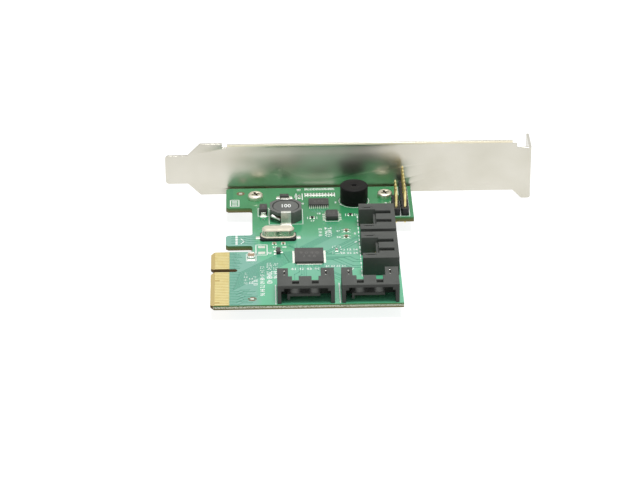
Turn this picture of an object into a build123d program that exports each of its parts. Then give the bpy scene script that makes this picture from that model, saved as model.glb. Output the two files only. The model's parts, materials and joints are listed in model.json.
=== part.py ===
from build123d import *
import os

os.makedirs("parts", exist_ok=True)

# A drive controller card, lying flat with its component side up and its bracket standing behind it.
# All sizes are in millimetres. X runs along the bracket from its tongue, Y from the front of the
# board to the bracket, and Z up. The origin is under the middle of the card, at its lowest point.
# A place on the board is given as (along, out): along the bracket from the end of its tongue,
# and out from the inner face of its plate.

# Bracket: a strip of sheet steel with a tongue at one end and a screw flange at the other
sheet = 0.86
bracket_length = 120.02
plate_width = 18.42
tongue_width = 10.19
tongue_straight = 7.3
tongue_shoulder = 4.12
tongue_corner = 1.2
flare_start = 114.0
flare_drop = 3.0
flange_reach = 11.43
flange_corner = 1.0
flange_slot_width = 4.42
flange_slot_depth = 4.2
flange_slot_out = 6.35
lip_start = 20.3
lip_end = 113.6
lip_reach = 1.6
relief_width = 1.6
relief_depth = 1.5
bend_inside = 0.3
tab_width = 8.0
tab_reach = 11.8
tab_corner = 2.0
tab_relief = 1.0

# Circuit board
board_thickness = 1.57
board_gap = 0.8
board_front = 79.3
finger_edge = 15.24
finger_depth = 13.0
finger_far = 45.0
finger_corner = 1.0
key_width = 1.9
key_depth = 8.25
key_out = 57.15
bevel_length = 1.3
bevel_depth = 0.42
wing_edge = 19.8
wing_corner = 0.8
wing_front = 14.9
arm_front = 41.0
arm_width = 7.2
cutter_radius = 1.0
wide_width = 65.0
narrow_width = 58.8
wide_front = 23.1

# Edge contacts
contact_pitch = 1.0
contact_width = 0.7
contact_length = 4.5
contact_short = 3.0
contact_thickness = 0.05
contact_first = 0.65
short_segment_count = 11
long_segment_count = 21
short_contacts_top = (17, 31)
short_contacts_bottom = (1,)

# Screws that hold the board to the bracket's tabs
left_screw_along = 29.4
right_screw_inset = 8.74
screw_out = 8.1
screw_diameter = 2.5
screw_head_diameter = 4.9
screw_head_height = 1.8
screw_head_edge = 0.5
screw_length = 4.6
screw_hole_clearance = 0.2
recess_width = 0.65
recess_length = 2.7
recess_depth = 1.0

# Drive sockets: two face the front, and two face the right
front_socket_alongs = (44.36, 63.96)
front_socket_inset = 0.4
side_socket_outs = (33.8, 53.1)
side_socket_inset = 0.52
socket_width = 17.4
socket_height = 6.2
socket_shell = 6.1
socket_depth = 11.3
socket_wall = 1.15
socket_roof = 1.0
socket_step = 0.9
left_leg_width = 3.35
right_leg_width = 4.05
rear_wall = 0.75
rear_wall_height = 4.4
latch_bridge = 1.3
latch_places = (-3.15, 2.8)
latch_width = 2.1
blade_left = -5.7
blade_right = 4.3
blade_under = 1.9
blade_thickness = 0.9
blade_setback = 1.2
blade_key_width = 0.8
blade_key_drop = 1.2
socket_contact_count = 7
socket_contact_pitch = 1.27
socket_contact_width = 0.5
socket_contact_thickness = 0.2
socket_contact_front = 1.8
socket_contact_foot = 1.6
clip_places = (-6.5, 6.15)
clip_thickness = 0.5
clip_front = 6.9
clip_length = 3.4
clip_prong = 0.7
clip_waist_low = 1.2
clip_waist_high = 4.4
clip_top = 6.0
clip_below = 1.1
clip_hole_clearance = 0.15

# Controller: a flat square chip with solder lands on all four sides
controller_place = (45.9, 49.0)
controller_size = 9.0
controller_height = 0.9
controller_land_count = 19
controller_land_pitch = 0.42
controller_land_width = 0.24
controller_land_length = 0.65
controller_land_thickness = 0.12

# Chips with bent leads
lead_bend = 0.3
lead_thickness = 0.16
driver_place = (49.8, 12.8)
driver_size = (6.5, 4.4, 1.0)
driver_span = 6.4
driver_lead_count = 10
driver_lead_pitch = 0.65
driver_lead_width = 0.24
memory_place = (53.85, 22.2)
memory_size = (4.9, 3.9, 1.5)
memory_span = 6.0
memory_lead_count = 4
memory_lead_pitch = 1.27
memory_lead_width = 0.42
regulator_place = (36.35, 45.7)
regulator_size = (2.9, 1.35, 1.05)
regulator_span = 2.5
regulator_lead_width = 0.42
regulator_lead_pitch = 1.9
chip_lift = 0.1
chip_draft = 8

# Crystal: a drawn can on a plastic foot
crystal_place = (36.4, 35.95)
crystal_foot = (11.5, 4.75, 0.95)
crystal_foot_corner = 0.6
crystal_rim = (11.1, 4.55, 0.35)
crystal_can = (10.2, 3.65, 2.6)
crystal_can_round = 0.55
crystal_lead_length = 1.2
crystal_lead_width = 1.1
crystal_lead_thickness = 0.3

# Inductor: a drum core wound with wire, inside an eight-sided shield
inductor_place = (39.05, 21.4)
inductor_size = (10.1, 9.9)
inductor_height = 4.0
inductor_corner = 2.5
inductor_bore = 8.7
drum_diameter = 8.1
drum_flange = 0.9
drum_post = 3.6
drum_inset = 0.08
coil_diameter = 7.4
window_height = 2.75
inductor_clip_width = 3.2
inductor_clip_thickness = 0.25
inductor_clip_lip = 0.8
inductor_clip_foot = 0.8
wire_diameter = 0.8
wire_start = (-1.85, 0.6, 1.1)
wire_end = (-4.3, 1.9, 2.1)
window_side = 3.0

# Diodes
diode_place = (31.85, 18.1)
diode_size = (4.1, 2.65, 2.2)
diode_terminal_width = 1.5
diode_terminal_length = 0.9
diode_terminal_height = 1.1
small_diode_place = (38.74, 7.9)
small_diode_size = (3.0, 1.8, 1.1)
small_diode_terminal_width = 1.0
small_diode_terminal_length = 0.9
small_diode_terminal_height = 0.5
terminal_sheet = 0.2

# Chip parts: most lie along the bracket, and some run out from it
resistor_size = (1.6, 0.8, 0.45)
resistor_places = ((47.5, 22.5), (59.8, 20.8))
outward_resistor_places = ((43.6, 7.6), (54.65, 44.9))
small_resistor_size = (1.0, 0.5, 0.35)
resistor_row_start = (46.0, 6.2)
resistor_row_count = 10
resistor_row_pitch = 0.97
capacitor_size = (1.6, 0.8, 0.7)
capacitor_places = ((58.1, 32.0), (58.0, 36.1))
load_capacitor_size = (1.3, 0.7, 0.5)
load_capacitor_places = ((35.1, 39.95), (37.95, 39.95))
filter_place = (27.8, 48.75)
filter_size = (3.7, 1.95, 1.1)
chip_end_share = 0.24

# Buzzer
buzzer_past_middle = 0.3
buzzer_out = 10.95
buzzer_diameter = 9.0
buzzer_height = 5.8
buzzer_base_height = 0.9
buzzer_base_inset = 0.12
buzzer_wall = 0.7
buzzer_round = 0.35
buzzer_hole = 1.5
buzzer_pin_spacing = 5.0
buzzer_pin_diameter = 0.6

# Pin headers, their rows running out from the bracket
activity_header_inset = 2.79
activity_header_count = 8
jumper_header_inset = 5.64
jumper_header_count = 4
header_front_inset = 2.3
header_pitch = 2.54
header_height = 2.54
header_width = 2.5
header_notch = 0.45
header_pin = 0.64
header_pin_height = 8.54
header_pin_below = 2.9
header_pin_point = 0.5
header_pin_taper = 22
pin_hole_clearance = 0.1

# Round forms that are small or out of sight have only a few sides
hidden_round_sides = 12
small_round_sides = 8
hole_sides = 6
solder_sides = 6

# Solder and bare metal
solder_height = 0.7
solder_base = 1.7
solder_collar = 0.1
solder_slope = 0.22
bare_pad_places = ((31.1, 42.0), (31.1, 45.9))
bare_pad_size = (2.2, 1.5)
bare_pad_thickness = 0.03
fiducial_places = ((24.5, 4.5), (28.0, 75.5))
fiducial_diameter = 1.0

# Places that follow from the sizes above
tongue_end_x = -bracket_length / 2
plate_face_y = (board_front - flange_reach) / 2
plate_bottom_z = flare_drop
board_top_z = plate_bottom_z + sheet + board_thickness
bend_outside = bend_inside + sheet
narrow_end = finger_edge + narrow_width
wide_end = finger_edge + wide_width
header_front = wide_front - header_front_inset
right_screw_along = wide_end - right_screw_inset
screw_places = ((left_screw_along, screw_out), (right_screw_along, screw_out))

# The buzzer stands just past the middle of the space between the driver chip and the right screw
driver_right = driver_place[0] + driver_size[0] / 2
right_screw_left = right_screw_along - screw_head_diameter / 2
buzzer_place = ((driver_right + right_screw_left) / 2 + buzzer_past_middle, buzzer_out)


def on_board(along, out, up=0.0, facing=0):
    """A plane at a place on the board's top face, turned anticlockwise by facing degrees."""
    corner = (tongue_end_x + along, plate_face_y - out, board_top_z + up)
    return Plane(origin=corner, x_dir=Vector(1, 0, 0).rotate(Axis.Z, facing), z_dir=(0, 0, 1))


def upright(seat, back=0.0):
    """The plane that faces forward, at a distance behind a seat, with its x across and its y up."""
    return Plane(origin=seat.from_local_coords((0, back, 0)), x_dir=seat.x_dir, z_dir=-seat.y_dir)


def edgewise(seat, across=0.0):
    """The plane that faces sideways, at a distance across a seat, with its x rearward and its y up."""
    return Plane(origin=seat.from_local_coords((across, 0, 0)), x_dir=seat.y_dir, z_dir=seat.x_dir)


# Bracket
face_corner = (tongue_end_x, plate_face_y, plate_bottom_z)
plate_plane = Plane(origin=face_corner, x_dir=(1, 0, 0), z_dir=(0, -1, 0))
section_plane = Plane(origin=face_corner, x_dir=(0, 1, 0), z_dir=(1, 0, 0))
floor_plane = Plane(origin=face_corner, x_dir=(1, 0, 0), z_dir=(0, 0, 1))
lip_floor = plate_width - relief_depth
end_top = plate_width - flare_drop
bend_room = bend_outside + bend_inside
with BuildPart() as bracket:
    with BuildSketch(plate_plane):
        with BuildLine():
            Polyline(
                (0, tongue_shoulder),
                (tongue_straight, tongue_shoulder),
                (tongue_straight + tongue_shoulder, 0),
                (flare_start, 0),
                (flare_start + flare_drop, -flare_drop),
                (bracket_length - bend_room, -flare_drop),
                (bracket_length - bend_room, end_top),
                (lip_end + relief_width, end_top),
                (lip_end + relief_width, lip_floor),
                (lip_start - relief_width, lip_floor),
                (lip_start - relief_width, plate_width),
                (tongue_straight + tongue_shoulder, plate_width),
                (tongue_straight, tongue_shoulder + tongue_width),
                (0, tongue_shoulder + tongue_width),
                close=True,
            )
        plate_outline = make_face()
        fillet(plate_outline.vertices().group_by(Axis.X)[0], tongue_corner)
        with Locations(*[(along, 0) for along, out in screw_places]):
            Rectangle(tab_width + 2 * tab_relief, 2 * bend_room, mode=Mode.SUBTRACT)
    extrude(amount=-sheet)
    # The stiffening lip, bent over towards the board
    with BuildSketch(section_plane.offset(lip_start)):
        with BuildLine():
            Polyline(
                (sheet, lip_floor),
                (sheet, plate_width),
                (sheet - lip_reach, plate_width),
                (sheet - lip_reach, plate_width - sheet),
                (0, plate_width - sheet),
                (0, lip_floor),
                close=True,
            )
        lip_profile = make_face()
        fillet(lip_profile.vertices().sort_by_distance((sheet, plate_width, 0))[0], bend_outside)
    extrude(amount=lip_end - lip_start)
    # The screw flange, bent away from the board at the far end
    with BuildSketch(floor_plane.offset(-flare_drop)):
        with BuildLine():
            Polyline(
                (bracket_length - bend_room, 0),
                (bracket_length, 0),
                (bracket_length, flange_reach),
                (bracket_length - sheet, flange_reach),
                (bracket_length - sheet, sheet),
                (bracket_length - bend_room, sheet),
                close=True,
            )
        flange_profile = make_face()
        fillet(flange_profile.vertices().sort_by_distance((bracket_length, 0, 0))[0], bend_outside)
    extrude(amount=plate_width)
    fillet(bracket.edges().filter_by(Axis.X).group_by(Axis.Y)[-1], flange_corner)
    with BuildSketch(section_plane.offset(bracket_length)):
        with Locations((flange_slot_out, flange_slot_depth - flare_drop)):
            Circle(flange_slot_width / 2)
        with Locations((flange_slot_out, -flare_drop)):
            Rectangle(flange_slot_width, 2 * flange_slot_depth)
    extrude(amount=-sheet, mode=Mode.SUBTRACT)
    # The tabs, bent in under the board at the plate's lower edge
    for along, out in screw_places:
        with BuildSketch(section_plane.offset(along - tab_width / 2)):
            with BuildLine():
                Polyline(
                    (0, bend_room),
                    (sheet, bend_room),
                    (sheet, 0),
                    (-tab_reach, 0),
                    (-tab_reach, sheet),
                    (0, sheet),
                    close=True,
                )
            tab_profile = make_face()
            fillet(tab_profile.vertices().sort_by_distance((sheet, 0, 0))[0], bend_outside)
            fillet(tab_profile.vertices().sort_by_distance((0, sheet, 0))[0], bend_inside)
        extrude(amount=tab_width)
    fillet(bracket.edges().filter_by(Axis.Z).group_by(Axis.Y)[0], tab_corner)
    with BuildSketch(floor_plane):
        with Locations(*[(along, -out) for along, out in screw_places]):
            Circle(screw_diameter / 2)
    extrude(amount=sheet, mode=Mode.SUBTRACT)
bracket.part.label = "bracket"
export_step(bracket.part, "parts/bracket.step")

# Screws: a pan head with a cross recess, and a plain shank
screw_seats = [on_board(along, out) for along, out in screw_places]
with BuildPart() as bracket_screws:
    with BuildSketch(*screw_seats):
        Circle(screw_head_diameter / 2)
    extrude(amount=screw_head_height)
    chamfer(bracket_screws.edges().group_by(Axis.Z)[-1], screw_head_edge)
    with BuildSketch(*screw_seats):
        RegularPolygon(screw_diameter / 2, hidden_round_sides)
    extrude(amount=-screw_length)
    with BuildSketch(*[seat.offset(screw_head_height) for seat in screw_seats]):
        Rectangle(recess_length, recess_width, rotation=30)
        Rectangle(recess_width, recess_length, rotation=30)
    extrude(amount=-recess_depth, mode=Mode.SUBTRACT)
bracket_screws.part.label = "bracket_screws"
export_step(bracket_screws.part, "parts/bracket_screws.step")

# Where legs and pins go through the board
socket_seats = [on_board(along, board_front - front_socket_inset) for along in front_socket_alongs]
socket_seats += [on_board(narrow_end - side_socket_inset, out, facing=90) for out in side_socket_outs]
clip_leg_places = [
    (across, clip_front + back)
    for across in clip_places
    for back in (clip_prong / 2, clip_length - clip_prong / 2)
]
headers = {
    "activity_header": (wide_end - activity_header_inset, activity_header_count),
    "jumper_header": (wide_end - jumper_header_inset, jumper_header_count),
}
header_pin_seats = [
    on_board(along, header_front - number * header_pitch)
    for along, count in headers.values()
    for number in range(count)
]
buzzer_seat = on_board(*buzzer_place)
clip_hole_radius = (clip_prong**2 + clip_thickness**2) ** 0.5 / 2 + clip_hole_clearance
pin_hole_radius = header_pin / 2**0.5 + pin_hole_clearance

# Circuit board
with BuildPart() as circuit_board:
    with BuildSketch(on_board(0, 0)) as board_outline:
        cut_end = finger_edge + finger_depth
        with BuildLine():
            Polyline(
                (wing_edge, -board_gap),
                (wide_end, -board_gap),
                (wide_end, -wide_front),
                (narrow_end, -wide_front),
                (narrow_end, -board_front),
                (finger_edge, -board_front),
                (finger_edge, -finger_far),
                (cut_end, -finger_far),
                (cut_end, -arm_front),
                (wing_edge, -arm_front),
                (wing_edge, arm_width - arm_front),
                (cut_end, arm_width - arm_front),
                (cut_end, -wing_front),
                (wing_edge, -wing_front),
                close=True,
            )
        make_face()
        chamfer(board_outline.vertices().group_by(Axis.X)[1], wing_corner)
        fillet(board_outline.vertices().filter_by_position(Axis.X, cut_end - 0.01, cut_end + 0.01), cutter_radius)
        with Locations((finger_edge, -key_out)):
            Rectangle(2 * key_depth - key_width, key_width, mode=Mode.SUBTRACT)
        with Locations((finger_edge + key_depth - key_width / 2, -key_out)):
            Circle(key_width / 2, mode=Mode.SUBTRACT)
        chamfer(board_outline.vertices().group_by(Axis.X)[0], finger_corner)
        with Locations(*[(along, -out) for along, out in screw_places]):
            Circle(screw_diameter / 2 + screw_hole_clearance, mode=Mode.SUBTRACT)
    extrude(amount=-board_thickness)
    # The bevel on both faces of the fingers
    with BuildSketch(upright(on_board(0, finger_far))):
        for face, into in ((0, -1), (-board_thickness, 1)):
            with BuildLine():
                Polyline(
                    (finger_edge, face),
                    (finger_edge + bevel_length, face),
                    (finger_edge, face + into * bevel_depth),
                    close=True,
                )
            make_face()
    extrude(amount=board_front - finger_far, mode=Mode.SUBTRACT)
    # Holes for pins and clip legs. They are small and many, so each has only a few sides
    with BuildSketch(*header_pin_seats):
        RegularPolygon(pin_hole_radius, hole_sides)
    extrude(amount=-board_thickness, mode=Mode.SUBTRACT)
    with BuildSketch(buzzer_seat):
        with GridLocations(buzzer_pin_spacing, 0, 2, 1):
            RegularPolygon(buzzer_pin_diameter / 2 + pin_hole_clearance, hole_sides)
    extrude(amount=-board_thickness, mode=Mode.SUBTRACT)
    with BuildSketch(*socket_seats):
        with Locations(*clip_leg_places):
            RegularPolygon(clip_hole_radius, hole_sides)
    extrude(amount=-board_thickness, mode=Mode.SUBTRACT)
circuit_board.part.label = "circuit_board"
export_step(circuit_board.part, "parts/circuit_board.step")


def contact_shapes(short_contacts):
    """Draw one face's edge contacts. They end in line; a short one starts farther in."""
    end = finger_edge + bevel_length + contact_length
    for number in range(1, short_segment_count + long_segment_count + 1):
        step = number - 1 if number <= short_segment_count else number + 1
        out = finger_far + contact_first + step * contact_pitch
        length = contact_short if number in short_contacts else contact_length
        with Locations((end, -out)):
            Rectangle(length, contact_width, align=(Align.MAX, Align.CENTER))


with BuildPart() as edge_contacts_component_side:
    with BuildSketch(on_board(0, 0)):
        contact_shapes(short_contacts_top)
    extrude(amount=contact_thickness)
edge_contacts_component_side.part.label = "edge_contacts_component_side"
export_step(edge_contacts_component_side.part, "parts/edge_contacts_component_side.step")

with BuildPart() as edge_contacts_solder_side:
    with BuildSketch(on_board(0, 0, -board_thickness)):
        contact_shapes(short_contacts_bottom)
    extrude(amount=-contact_thickness)
edge_contacts_solder_side.part.label = "edge_contacts_solder_side"
export_step(edge_contacts_solder_side.part, "parts/edge_contacts_solder_side.step")

# Drive sockets
blade_top = blade_under + blade_thickness
blade_middle = (blade_left + blade_right) / 2
contact_places = [
    blade_middle + (number - (socket_contact_count - 1) / 2) * socket_contact_pitch
    for number in range(socket_contact_count)
]


def drive_socket(seat):
    """A right-angle housing: a mouth over the board, a keyed blade inside it, and two clip legs."""
    half = socket_width / 2
    inner = half - socket_wall
    roof = socket_height - socket_roof
    with BuildPart() as housing:
        with BuildSketch(seat):
            Rectangle(socket_width, socket_shell, align=(Align.CENTER, Align.MIN))
            with Locations((-half, 0)):
                Rectangle(left_leg_width, socket_depth, align=(Align.MIN, Align.MIN))
            with Locations((half, 0)):
                Rectangle(right_leg_width, socket_depth, align=(Align.MAX, Align.MIN))
        extrude(amount=socket_height)
        with BuildSketch(upright(seat)):
            with BuildLine():
                Polyline(
                    (-inner, 0),
                    (inner, 0),
                    (inner, roof - socket_step),
                    (inner - socket_step, roof - socket_step),
                    (inner - socket_step, roof),
                    (socket_step - inner, roof),
                    (socket_step - inner, roof - socket_step),
                    (-inner, roof - socket_step),
                    close=True,
                )
            make_face()
        extrude(amount=-socket_shell, mode=Mode.SUBTRACT)
        # Latch slots in the roof, open to the rear
        with BuildSketch(seat.offset(socket_height)):
            with Locations(*[(across, latch_bridge) for across in latch_places]):
                Rectangle(latch_width, socket_shell - latch_bridge, align=(Align.CENTER, Align.MIN))
        extrude(amount=-socket_roof, mode=Mode.SUBTRACT)
        # The wall behind the mouth, and the blade that stands on it
        with BuildSketch(seat):
            with Locations((0, socket_shell)):
                Rectangle(2 * inner, rear_wall, align=(Align.CENTER, Align.MIN))
        extrude(amount=rear_wall_height)
        with BuildSketch(upright(seat, blade_setback)):
            with BuildLine():
                Polyline(
                    (blade_left, blade_under - blade_key_drop),
                    (blade_left + blade_key_width, blade_under - blade_key_drop),
                    (blade_left + blade_key_width, blade_under),
                    (blade_right, blade_under),
                    (blade_right, blade_top),
                    (blade_left, blade_top),
                    close=True,
                )
            make_face()
        extrude(amount=blade_setback - socket_shell)
        # Ways for the contacts through the wall, and for the clips down the legs
        with BuildSketch(upright(seat, socket_shell)):
            with Locations(*[(across, blade_under) for across in contact_places]):
                Rectangle(socket_contact_width, socket_contact_thickness, align=(Align.CENTER, Align.MAX))
        extrude(amount=-rear_wall, mode=Mode.SUBTRACT)
        with BuildSketch(seat):
            with Locations(*[(across, clip_front) for across in clip_places]):
                Rectangle(clip_thickness, clip_length, align=(Align.CENTER, Align.MIN))
        extrude(amount=socket_height, mode=Mode.SUBTRACT)
    return housing.part


def socket_contacts(seat):
    """Seven strips that lie under the blade, go through the wall and turn down to a foot on the board."""
    heel = socket_shell + rear_wall + socket_contact_thickness
    strip_low = blade_under - socket_contact_thickness
    with BuildPart() as strips:
        with BuildSketch(*[edgewise(seat, across) for across in contact_places]):
            with BuildLine():
                Polyline(
                    (socket_contact_front, strip_low),
                    (heel - socket_contact_thickness, strip_low),
                    (heel - socket_contact_thickness, 0),
                    (heel + socket_contact_foot, 0),
                    (heel + socket_contact_foot, socket_contact_thickness),
                    (heel, socket_contact_thickness),
                    (heel, blade_under),
                    (socket_contact_front, blade_under),
                    close=True,
                )
            make_face()
        extrude(amount=socket_contact_width / 2, both=True)
    return strips.part


def socket_clips(seat):
    """A board clip in each leg: two prongs through the board, joined by a waist."""
    low = -board_thickness - clip_below
    with BuildPart() as clips:
        with BuildSketch(*[edgewise(seat, across) for across in clip_places]):
            with Locations((clip_front, low), (clip_front + clip_length - clip_prong, low)):
                Rectangle(clip_prong, clip_top - low, align=(Align.MIN, Align.MIN))
            with Locations((clip_front, clip_waist_low)):
                Rectangle(clip_length, clip_waist_high - clip_waist_low, align=(Align.MIN, Align.MIN))
        extrude(amount=clip_thickness / 2, both=True)
    return clips.part


for number, seat in enumerate(socket_seats, start=1):
    housing = drive_socket(seat)
    housing.label = f"drive_socket_{number}"
    export_step(housing, f"parts/drive_socket_{number}.step")
    strips = socket_contacts(seat)
    strips.label = f"drive_socket_contacts_{number}"
    export_step(strips, f"parts/drive_socket_contacts_{number}.step")
    clips = socket_clips(seat)
    clips.label = f"drive_socket_clips_{number}"
    export_step(clips, f"parts/drive_socket_clips_{number}.step")

# Controller
controller_seat = on_board(*controller_place)
with BuildPart() as controller_chip:
    with BuildSketch(controller_seat):
        Rectangle(controller_size, controller_size)
    extrude(amount=controller_height)
controller_chip.part.label = "controller_chip"
export_step(controller_chip.part, "parts/controller_chip.step")

with BuildPart() as controller_chip_leads:
    with BuildSketch(controller_seat):
        for turn in range(4):
            middle = Location((0, 0, 0), (0, 0, 90 * turn)) * Location((controller_size / 2, 0, 0))
            with Locations(middle):
                with GridLocations(1, controller_land_pitch, 1, controller_land_count):
                    Rectangle(
                        controller_land_length, controller_land_width, align=(Align.MIN, Align.CENTER)
                    )
    extrude(amount=controller_land_thickness)
controller_chip_leads.part.label = "controller_chip_leads"
export_step(controller_chip_leads.part, "parts/controller_chip_leads.step")


def moulded_body(seat, length, width, height, lift=chip_lift):
    """A chip body with drafted sides, widest at mid height where its leads come out."""
    with BuildPart() as body:
        with BuildSketch(seat.offset(lift + height / 2)):
            Rectangle(length, width)
        extrude(amount=height / 2, taper=chip_draft)
        with BuildSketch(seat.offset(lift + height / 2)):
            Rectangle(length, width)
        extrude(amount=-height / 2, taper=chip_draft)
    return body.part


def bent_leads(place, facing, size, span, rows, lead_width):
    """The leads of both long sides: each leaves the body, turns down and ends flat on the board."""
    length, width, height = size
    near = width / 2
    exit_low = chip_lift + height / 2 - lead_thickness / 2
    exit_high = exit_low + lead_thickness
    with BuildPart() as leads:
        for turn, places in zip((0, 180), rows):
            seat = on_board(*place, facing=facing + turn)
            with BuildSketch(*[edgewise(seat, across) for across in places]):
                with BuildLine():
                    Polyline(
                        (near, exit_low),
                        (near + lead_bend - lead_thickness, exit_low),
                        (near + lead_bend - lead_thickness, 0),
                        (span / 2, 0),
                        (span / 2, lead_thickness),
                        (near + lead_bend, lead_thickness),
                        (near + lead_bend, exit_high),
                        (near, exit_high),
                        close=True,
                    )
                make_face()
            extrude(amount=lead_width / 2, both=True)
    return leads.part


def lead_row(count, pitch):
    """The places of a row of leads, about its middle."""
    return [(number - (count - 1) / 2) * pitch for number in range(count)]


# Driver chip, its long side along the bracket
driver_chip = moulded_body(on_board(*driver_place), *driver_size)
driver_chip.label = "driver_chip"
export_step(driver_chip, "parts/driver_chip.step")

driver_rows = [lead_row(driver_lead_count, driver_lead_pitch)] * 2
driver_chip_leads = bent_leads(driver_place, 0, driver_size, driver_span, driver_rows, driver_lead_width)
driver_chip_leads.label = "driver_chip_leads"
export_step(driver_chip_leads, "parts/driver_chip_leads.step")

# Memory chip, its long side running out from the bracket
memory_chip = moulded_body(on_board(*memory_place, facing=90), *memory_size)
memory_chip.label = "memory_chip"
export_step(memory_chip, "parts/memory_chip.step")

memory_rows = [lead_row(memory_lead_count, memory_lead_pitch)] * 2
memory_chip_leads = bent_leads(memory_place, 90, memory_size, memory_span, memory_rows, memory_lead_width)
memory_chip_leads.label = "memory_chip_leads"
export_step(memory_chip_leads, "parts/memory_chip_leads.step")

# Regulator: two leads on one side and one on the other
regulator = moulded_body(on_board(*regulator_place, facing=90), *regulator_size)
regulator.label = "regulator"
export_step(regulator, "parts/regulator.step")

regulator_rows = [lead_row(2, regulator_lead_pitch), lead_row(1, regulator_lead_pitch)]
regulator_leads = bent_leads(
    regulator_place, 90, regulator_size, regulator_span, regulator_rows, regulator_lead_width
)
regulator_leads.label = "regulator_leads"
export_step(regulator_leads, "parts/regulator_leads.step")

# Crystal
crystal_seat = on_board(*crystal_place)
foot_length, foot_width, foot_height = crystal_foot
rim_length, rim_width, rim_height = crystal_rim
can_length, can_width, can_height = crystal_can
with BuildPart() as crystal_base:
    with BuildSketch(crystal_seat) as foot_outline:
        Rectangle(foot_length, foot_width)
        chamfer(foot_outline.vertices(), crystal_foot_corner)
    extrude(amount=foot_height)
crystal_base.part.label = "crystal_base"
export_step(crystal_base.part, "parts/crystal_base.step")

with BuildPart() as crystal_can_shell:
    with BuildSketch(crystal_seat.offset(foot_height)):
        SlotOverall(rim_length, rim_width)
    extrude(amount=rim_height)
    with BuildSketch(crystal_seat.offset(foot_height + rim_height)):
        SlotOverall(can_length, can_width)
    extrude(amount=can_height)
    chamfer(crystal_can_shell.faces().sort_by(Axis.Z)[-1].edges(), crystal_can_round)
crystal_can_shell.part.label = "crystal_can"
export_step(crystal_can_shell.part, "parts/crystal_can.step")

with BuildPart() as crystal_leads:
    with BuildSketch(crystal_seat):
        with Locations((foot_length / 2, 0)):
            Rectangle(crystal_lead_length, crystal_lead_width, align=(Align.MIN, Align.CENTER))
        with Locations((-foot_length / 2, 0)):
            Rectangle(crystal_lead_length, crystal_lead_width, align=(Align.MAX, Align.CENTER))
    extrude(amount=crystal_lead_thickness)
crystal_leads.part.label = "crystal_leads"
export_step(crystal_leads.part, "parts/crystal_leads.step")

# Inductor
inductor_seat = on_board(*inductor_place)
inductor_ends = [on_board(*inductor_place, facing=facing) for facing in (0, 180)]
inductor_across, inductor_deep = inductor_size
with BuildPart() as inductor_shield:
    with BuildSketch(inductor_seat) as shield_outline:
        Rectangle(inductor_across, inductor_deep)
        chamfer(shield_outline.vertices(), inductor_corner)
        Circle(inductor_bore / 2, mode=Mode.SUBTRACT)
    extrude(amount=inductor_height)
    # A window beside each clip, where the wire comes out
    with BuildSketch(*inductor_ends):
        with Locations((-inductor_clip_width / 2, -inductor_deep / 2)):
            Rectangle(
                inductor_across / 2 - inductor_clip_width / 2, window_side, align=(Align.MAX, Align.MIN)
            )
    extrude(amount=window_height, mode=Mode.SUBTRACT)
inductor_shield.part.label = "inductor_shield"
export_step(inductor_shield.part, "parts/inductor_shield.step")

drum_height = inductor_height - drum_inset
with BuildPart() as inductor_core:
    with BuildSketch(inductor_seat, inductor_seat.offset(drum_height - drum_flange)):
        Circle(drum_diameter / 2)
    extrude(amount=drum_flange)
    with BuildSketch(inductor_seat.offset(drum_flange)):
        RegularPolygon(drum_post / 2, hidden_round_sides)
    extrude(amount=drum_height - 2 * drum_flange)
inductor_core.part.label = "inductor_core"
export_step(inductor_core.part, "parts/inductor_core.step")

with BuildPart() as inductor_coil:
    with BuildSketch(inductor_seat.offset(drum_flange)):
        Circle(coil_diameter / 2)
        RegularPolygon(drum_post / 2, hidden_round_sides, mode=Mode.SUBTRACT)
    extrude(amount=drum_height - 2 * drum_flange)
inductor_coil.part.label = "inductor_coil"
export_step(inductor_coil.part, "parts/inductor_coil.step")

with BuildPart() as inductor_wire_ends:
    for seat in inductor_ends:
        start, end = [
            seat.from_local_coords((across, back - inductor_deep / 2, up))
            for across, back, up in (wire_start, wire_end)
        ]
        with BuildSketch(Plane(origin=start, z_dir=end - start)):
            RegularPolygon(wire_diameter / 2, small_round_sides)
        extrude(amount=(end - start).length)
inductor_wire_ends.part.label = "inductor_wire_ends"
export_step(inductor_wire_ends.part, "parts/inductor_wire_ends.step")

with BuildPart() as inductor_clips:
    with BuildSketch(*[edgewise(seat) for seat in inductor_ends]):
        side = -inductor_deep / 2
        shin = side - inductor_clip_thickness
        with BuildLine():
            Polyline(
                (side + inductor_clip_lip, inductor_height),
                (side + inductor_clip_lip, inductor_height + inductor_clip_thickness),
                (shin, inductor_height + inductor_clip_thickness),
                (shin, inductor_clip_thickness),
                (shin - inductor_clip_foot, inductor_clip_thickness),
                (shin - inductor_clip_foot, 0),
                (side, 0),
                (side, inductor_height),
                close=True,
            )
        make_face()
    extrude(amount=inductor_clip_width / 2, both=True)
inductor_clips.part.label = "inductor_clips"
export_step(inductor_clips.part, "parts/inductor_clips.step")


def end_terminals(place, facing, body_length, width, length, height):
    """Two bent strips, one at each end of a body whose length runs across its facing."""
    end = -body_length / 2
    with BuildPart() as terminals:
        with BuildSketch(*[edgewise(on_board(*place, facing=facing + turn)) for turn in (0, 180)]):
            with BuildLine():
                Polyline(
                    (end, 0),
                    (end, height),
                    (end - terminal_sheet, height),
                    (end - terminal_sheet, terminal_sheet),
                    (end - length, terminal_sheet),
                    (end - length, 0),
                    close=True,
                )
            make_face()
        extrude(amount=width / 2, both=True)
    return terminals.part


# Power diode, running out from the bracket
power_diode = moulded_body(on_board(*diode_place, facing=90), *diode_size, lift=0)
power_diode.label = "power_diode"
export_step(power_diode, "parts/power_diode.step")

power_diode_terminals = end_terminals(
    diode_place, 0, diode_size[0], diode_terminal_width, diode_terminal_length, diode_terminal_height
)
power_diode_terminals.label = "power_diode_terminals"
export_step(power_diode_terminals, "parts/power_diode_terminals.step")

# Small diode, along the bracket
small_diode = moulded_body(on_board(*small_diode_place), *small_diode_size, lift=0)
small_diode.label = "small_diode"
export_step(small_diode, "parts/small_diode.step")

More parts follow.
